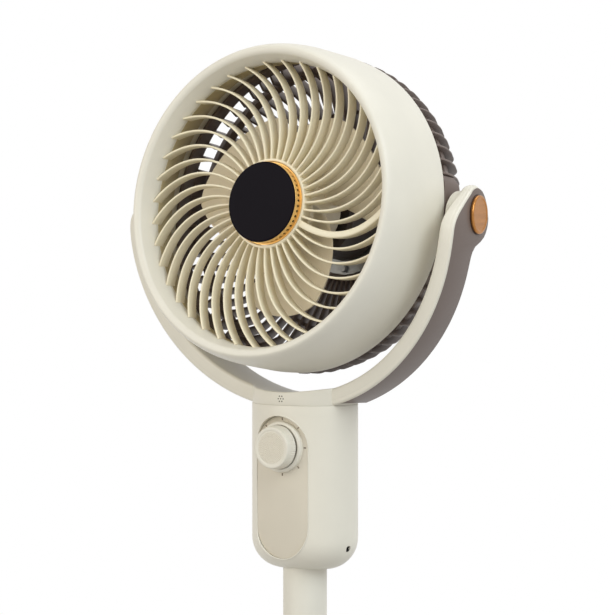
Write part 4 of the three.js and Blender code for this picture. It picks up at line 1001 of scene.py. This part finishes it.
def housing():
    """Oval housing rounded into its floor, with the panel's recess and the inlet's port."""
    steps = 14
    start = HOUSING_FLOOR + HOUSING_CORNER
    top = SEAM_Z - 0.05
    rings = []
    for k in range(steps + 1):
        angle = math.pi / 2 * k / steps
        rings.append(oval(HOUSING_CORNER * (1 - math.sin(angle)), start - HOUSING_CORNER * math.cos(angle)))
    for k in range(1, steps + 1):
        rings.append(oval(0, start + (top - 0.3 - start) * k / steps))
    rings.append(oval(0.1, top - 0.08))
    rings.append(oval(0.35, top))
    crease = 30
    shell = make("housing", Shape().loft(rings), UPRIGHT, CREAM, "stand", ["housing_shell"], crease=crease)
    outside = 60  # beyond the skin on every side
    recess = stadium_outline(PANEL_HALF)
    depths = (-outside, PANEL_Y + PANEL_THICK + FIT)
    cut(shell, Shape().loft([[(x, y, z + KNOB_Z) for x, z in recess] for y in depths]))
    port = inlet_outline(2.6, 2.6, 2)
    cut(shell, Shape().loft([[(x, y, z) for y, z in port] for x in (outside / 2, outside)]))
    shell.data.shade_smooth()
    shell.data.set_sharp_from_angle(angle=math.radians(crease))


def panel_lip():
    """Fine raised line round the panel recess, on the oval skin."""
    outline = stadium_outline(PANEL_HALF + 0.25, 48)
    path = []
    for x, z in dense(outline + outline[:1], 5.85)[:-1]:
        height = KNOB_Z + z
        corner = max(HOUSING_FLOOR + HOUSING_CORNER - height, 0)
        shrink = HOUSING_CORNER - math.sqrt(max(HOUSING_CORNER**2 - corner**2, 0))
        y = -(HOUSING_B - shrink) * math.sqrt(max(1 - (x / (HOUSING_A - shrink)) ** 2, 0))
        path.append(Vector((x, y, height)))
    rings = []
    for n, point in enumerate(path):
        run = (path[(n + 1) % len(path)] - path[n - 1]).normalized()
        side = Vector((0, 1, 0)).cross(run).normalized()
        lift = run.cross(side)
        section = [polar(0.55, angle) for angle in circle(10)]
        rings.append([point + side * u + lift * v for u, v in section])
    shape = Shape().loft(rings + rings[:1], capped=False)
    make("panel_lip", shape, UPRIGHT, CREAM, "stand", crease=80)


def panel():
    """Flat control panel with a softened front edge, bare of lettering."""
    rings = []
    for inset, depth in ((0, PANEL_THICK), (0, 0.5), (0.15, 0.15), (0.5, 0)):
        outline = stadium_outline(PANEL_HALF - FIT - inset)
        rings.append([(x, PANEL_Y + depth, z + KNOB_Z) for x, z in outline])
    make("panel_plate", Shape().loft(rings), UPRIGHT, PANEL, "stand", ["control_panel"])


def dial():
    """Collar that the knob turns in, and the ticks round it."""
    back = -PANEL_Y + 0.05
    step = back + 3
    collar = Shape().lathe(filleted([
        (DIAL_BORE, back, 0.2), (DIAL_RADIUS, back, 0.2), (DIAL_RADIUS - 0.2, back + 4.2, 2.2),
        (DIAL_RADIUS - 3, back + DIAL_DEPTH, 0.6), (DIAL_RADIUS - 3.6, step, 0.4), (DIAL_BORE, step, 0.2),
    ]), 144)
    make("dial_ring", collar, ON_PANEL, CREAM, "stand", ["dial_collar"])
    ticks = Shape()
    for angle in circle(TICKS):
        run = Vector(polar(1, angle))
        across = Vector((-run.y, run.x)) * TICK_HALF
        start = run * TICK_START
        end = run * TICK_END
        corners = [start - across, end - across, end + across, start + across]
        ticks.loft([[(*corner, -PANEL_Y + rise) for corner in corners] for rise in (-0.2, 0.12)])
    make("dial_ticks", ticks, ON_PANEL, INK, "stand")


def knob():
    """Fluted knob whose face, inside a plain rim, is covered with fine dots."""
    back = -PANEL_Y + FIT + DIAL_DEPTH + FIT
    front = back + KNOB_LENGTH
    face = front - KNOB_FACE_DROP

    def fluted(angle, r, z):
        """Flutes round the side that fade out before the front edge."""
        share = min(max((front - 2.2 - z) / 2, 0), 1) if r > 16 else 0
        return r - 0.4 * share * (0.5 + 0.5 * math.cos(KNOB_FLUTES * angle))

    profile = filleted([
        (0, back, 0), (KNOB_REAR - 0.7, back, 0), (KNOB_REAR, back + 0.6, 0.4),
        (KNOB_FRONT, front - 0.6, 0), (KNOB_FRONT - 0.2, front, 1.3),
        (KNOB_FRONT - 2.6, front - 0.1, 0.6), (KNOB_FRONT - 3.2, face, 0.4), (0, face, 0),
    ], closed=False)
    shape = Shape().lathe(dense(profile, 1.6), KNOB_FLUTES * 6, fluted)
    make("knob_body", shape, ON_PANEL, CREAM, "knob", ["speed_knob"], crease=45)
    # The dots are real bumps; their darker panel colour is painted shade that makes the fine relief show.
    dots = Shape()
    for ring in range(1, 11):
        r = ring * 1.3
        count = round(2 * math.pi * r / 1.5)
        for angle in circle(count):
            x, y = polar(r, angle + math.pi / count * (ring % 2))
            dots.dome(x, y, face - 0.01, 0.55, 0.5)
    make("knob_dots", dots, ON_PANEL, PANEL, "knob", crease=80)


def inlet():
    """Dark oblong socket with a bevelled front and a sunken middle."""
    rings = []
    for x, scale in ((35.5, 0.6), (35.5, 1), (46, 1), (46.6, 0.93), (46.6, 0.72), (43, 0.66)):
        rings.append([
            (x, INLET_Y + (y - INLET_Y) * scale, INLET_Z + (z - INLET_Z) * scale)
            for y, z in inlet_outline(3.7, 3, 2.8)
        ])
    make("inlet_socket", Shape().loft(rings), UPRIGHT, RUBBER, "stand", ["power_inlet"])


def pole():
    """Two tubes, one above the other, with a fine line between them."""
    bottom = FOOT_HEIGHT + WEIGHT_THICK + 2 * FIT
    top = HOUSING_FLOOR + POLE_SINK
    for name, low, high, rounds in (
        ("lower", bottom, POLE_JOINT - FIT / 2, (0.2, 0.2, 0.5, 0.2)),
        ("upper", POLE_JOINT + FIT / 2, top, (0.2, 0.5, 0.2, 0.2)),
    ):
        tube = Shape().hoop(POLE_BORE, POLE_RADIUS, low, high, rounds)
        make(f"tube_{name}", tube, UPRIGHT, TUBE, "stand", [f"pole_{name}"])


def base():
    """Crowned base cover, hollow below, and the collar at the pole's foot."""
    rim = FOOT_HEIGHT + BASE_EDGE
    start = BASE_RADIUS - 4
    steps = 24
    crown = []
    for k in range(steps + 1):
        t = k / steps
        rise = 2 + (BASE_CROWN - 2) * math.sin(t * math.pi / 2)
        crown.append((start + (COLLAR_RADIUS - start) * t, rim + rise))
    wall = 3
    edge = filleted([
        (BASE_RADIUS - wall, FOOT_HEIGHT, 0.5), (BASE_RADIUS, FOOT_HEIGHT, 0.8),
        (BASE_RADIUS, rim + 1.4, 3.5), (*crown[1], 0),
    ], closed=False)
    bore = POLE_RADIUS + FIT
    inside = [(bore, BASE_TOP), (bore, BASE_TOP - wall), (COLLAR_RADIUS, BASE_TOP - wall - 0.2)]
    inside += [(r, z - wall) for r, z in crown[-2::-1] if r < start - 2]
    inside.append((BASE_RADIUS - wall, rim - 1))
    shape = Shape().lathe(edge[:-1] + crown[1:] + inside, 192)
    make("base_dish", shape, UPRIGHT, CREAM, "stand", ["base_cover"], crease=35)
    low = BASE_TOP + FIT
    high = BASE_TOP + COLLAR_HEIGHT
    ring = Shape().lathe(filleted([
        (bore, low, 0.3), (COLLAR_RADIUS, low, 0.8), (COLLAR_RADIUS - 1, high, 2.5), (bore, high, 0.8),
    ]))
    make("collar_ring", ring, UPRIGHT, CREAM, "stand", ["pole_collar"])


def feet():
    """Rubber feet, each with two shallow grooves in its sole."""
    for k, angle in enumerate(circle(FOOT_COUNT)):
        shape = Shape().lathe([
            (0, 0.6), (2.4, 0.6), (2.8, 0), (4.6, 0), (5, 0.6), (6, 0.6), (6.4, 0),
            (FOOT_RADIUS - 0.8, 0), (FOOT_RADIUS - 0.2, 0.3), (FOOT_RADIUS, 1),
            (FOOT_RADIUS, FOOT_HEIGHT), (0, FOOT_HEIGHT),
        ], 48)
        place = Matrix.Translation((*polar(FOOT_CIRCLE * MM, angle), 0))
        stands_for = [f"rubber_foot_{k + 1}"]
        make(f"foot_{k + 1}", shape, place, RUBBER, "stand", stands_for, crease=30)


# ---- Camera, light and floor ----
AZIMUTH = 36.18
ELEVATION = 2.66
DISTANCE = 3893.6  # millimetres
FOCAL_PIXELS = 4500
FRAME_PIXELS = 615
AIM_RIGHT = 2.14
AIM_Z = 750.65
LAMP_AIM = Vector((0, 0, 0.75))
FLOOR_RADIUS = 3000
FLOOR_THICK = 20


def towards(azimuth, elevation):
    """Unit vector from the object to where it is seen or lit from; angles in degrees."""
    a = math.radians(azimuth)
    e = math.radians(elevation)
    return Vector((math.sin(a) * math.cos(e), -math.cos(a) * math.cos(e), math.sin(e)))


def aim(thing, place, back):
    """Puts a camera or a lamp in its place, looking against back."""
    thing.location = place
    thing.rotation_mode = "QUATERNION"
    thing.rotation_quaternion = (-back).to_track_quat("-Z", "Y")


def camera():
    """The photograph's view."""
    data = bpy.data.cameras.new("camera")
    data.sensor_width = 36
    data.lens = FOCAL_PIXELS * data.sensor_width / FRAME_PIXELS
    data.clip_start = 0.1
    data.clip_end = 100
    back = towards(AZIMUTH, ELEVATION)
    target = Vector((*polar(AIM_RIGHT, math.radians(AZIMUTH)), AIM_Z))
    eye = put("camera", data)
    aim(eye, (target + back * DISTANCE) * MM, back)
    bpy.context.scene.camera = eye


def lamp(name, azimuth, elevation, distance, size, power, colour=(1, 1, 1)):
    """Round soft lamp; distance and size are in metres."""
    data = bpy.data.lights.new(name, "AREA")
    data.shape = "DISK"
    data.size = size
    data.energy = power
    data.color = colour
    back = towards(azimuth, elevation)
    aim(put(name, data), LAMP_AIM + back * distance, back)


def combine(tree, operation, first, second):
    """A math node over two outputs."""
    node = tree.nodes.new("ShaderNodeMath")
    node.operation = operation
    tree.links.new(first, node.inputs[0])
    tree.links.new(second, node.inputs[1])
    return node.outputs["Value"]


def mixed(tree, share, first, second):
    """Two shaders mixed; share is the part of the second one."""
    mix = tree.nodes.new("ShaderNodeMixShader")
    tree.links.new(share, mix.inputs["Fac"])
    tree.links.new(first, mix.inputs[1])
    tree.links.new(second, mix.inputs[2])
    return mix.outputs["Shader"]


def seen_directly(tree):
    """1 for rays that come from the camera, a mirror or glass, else 0."""
    ray = tree.nodes.new("ShaderNodeLightPath").outputs
    mirrored = combine(tree, "MAXIMUM", ray["Is Camera Ray"], ray["Is Glossy Ray"])
    return combine(tree, "MAXIMUM", mirrored, ray["Is Transmission Ray"])


def world():
    """Even pale light on the object, and plain white where the world is seen directly."""
    studio = bpy.data.worlds.new("studio")
    bpy.context.scene.world = studio
    studio.use_nodes = True
    tree = studio.node_tree
    ambient = tree.nodes["Background"]
    fill(ambient, {"Color": (1, 0.985, 0.965, 1), "Strength": 0.52})
    white = tree.nodes.new("ShaderNodeBackground")
    fill(white, {"Color": (1, 1, 1, 1)})
    both = mixed(tree, seen_directly(tree), ambient.outputs["Background"], white.outputs["Background"])
    tree.links.new(both, tree.nodes["World Output"].inputs["Surface"])


def floor():
    """Pale floor that keeps the shadow near the fan and fades to plain white."""
    slab = Shape().lathe([(0, 0), (FLOOR_RADIUS, 0), (FLOOR_RADIUS, -FLOOR_THICK), (0, -FLOOR_THICK)])
    data = mesh("floor", slab, UPRIGHT)
    put("floor", data)
    material = bpy.data.materials.new("floor_white")
    material.use_nodes = True
    tree = material.node_tree
    link = tree.links.new
    matt = tree.nodes["Principled BSDF"]
    fill(matt, {"Roughness": 0.9, "Specular IOR Level": 0.1})
    tone = tree.nodes.new("ShaderNodeMapRange")
    fill(tone, {"To Min": 0.5, "To Max": 0.9})
    link(seen_directly(tree), tone.inputs["Value"])
    link(tone.outputs["Result"], matt.inputs["Base Color"])
    coords = tree.nodes.new("ShaderNodeTexCoord")
    length = tree.nodes.new("ShaderNodeVectorMath")
    length.operation = "LENGTH"
    link(coords.outputs["Object"], length.inputs[0])
    fade = tree.nodes.new("ShaderNodeMapRange")
    fade.interpolation_type = "SMOOTHSTEP"
    fill(fade, {"From Min": 0.5, "From Max": 1.7, "To Min": 0.4})
    link(length.outputs["Value"], fade.inputs["Value"])
    glow = tree.nodes.new("ShaderNodeEmission")
    share = combine(tree, "MULTIPLY", fade.outputs["Result"], seen_directly(tree))
    both = mixed(tree, share, matt.outputs["BSDF"], glow.outputs["Emission"])
    link(both, tree.nodes["Material Output"].inputs["Surface"])
    data.materials.append(material)


# ---- Build ----
shroud()
grille()
hub_band()
hub_disc()
guard()
rear_cap()
impeller()
yoke()
speaker_dots()
for side, name in ((1, "right"), (-1, "left")):
    guard_pad(side, name)
    pivot_boss(side, name)
    yoke_cover(side, name)
    pivot_cap(side, name)
housing()
panel_lip()
panel()
dial()
knob()
inlet()
pole()
base()
feet()

INNER = (
    (CAST, ["base_weight"]),
    (STEEL, [
        "base_screw", "housing_screw_right", "housing_screw_left", "swing_motor", "yoke_spindle",
        "spindle_nut", "motor_mount", "motor_shaft", "pivot_bolt_right", "pivot_bolt_left",
        "mount_screw_1", "mount_screw_2", "mount_screw_3", "mount_screw_4",
    ]),
    (BRASS, ["swing_pinion", "swing_gear", "spindle_bushing"]),
    (DARK, ["pole_coupling", "rotary_switch", "fan_nut", "tilt_washer_right", "tilt_washer_left"]),
    (CREAM, ["housing_lid", "board_posts"]),
    (BOARD, ["control_board"]),
    (CAN, ["motor_can"]),
)
for material, names in INNER:
    for name in names:
        inside = frame["nodes"][name].data.materials
        inside.clear()
        inside.append(material)

camera()
world()
floor()
lamp("key", 74, 34, distance=3.2, size=2.2, power=52, colour=(0.88, 0.955, 1))
lamp("front", -22, 16, distance=3.2, size=2.4, power=34, colour=(1, 0.955, 0.86))
lamp("top", 160, 60, distance=3, size=2, power=16)
bpy.context.scene.view_settings.view_transform = "Standard"
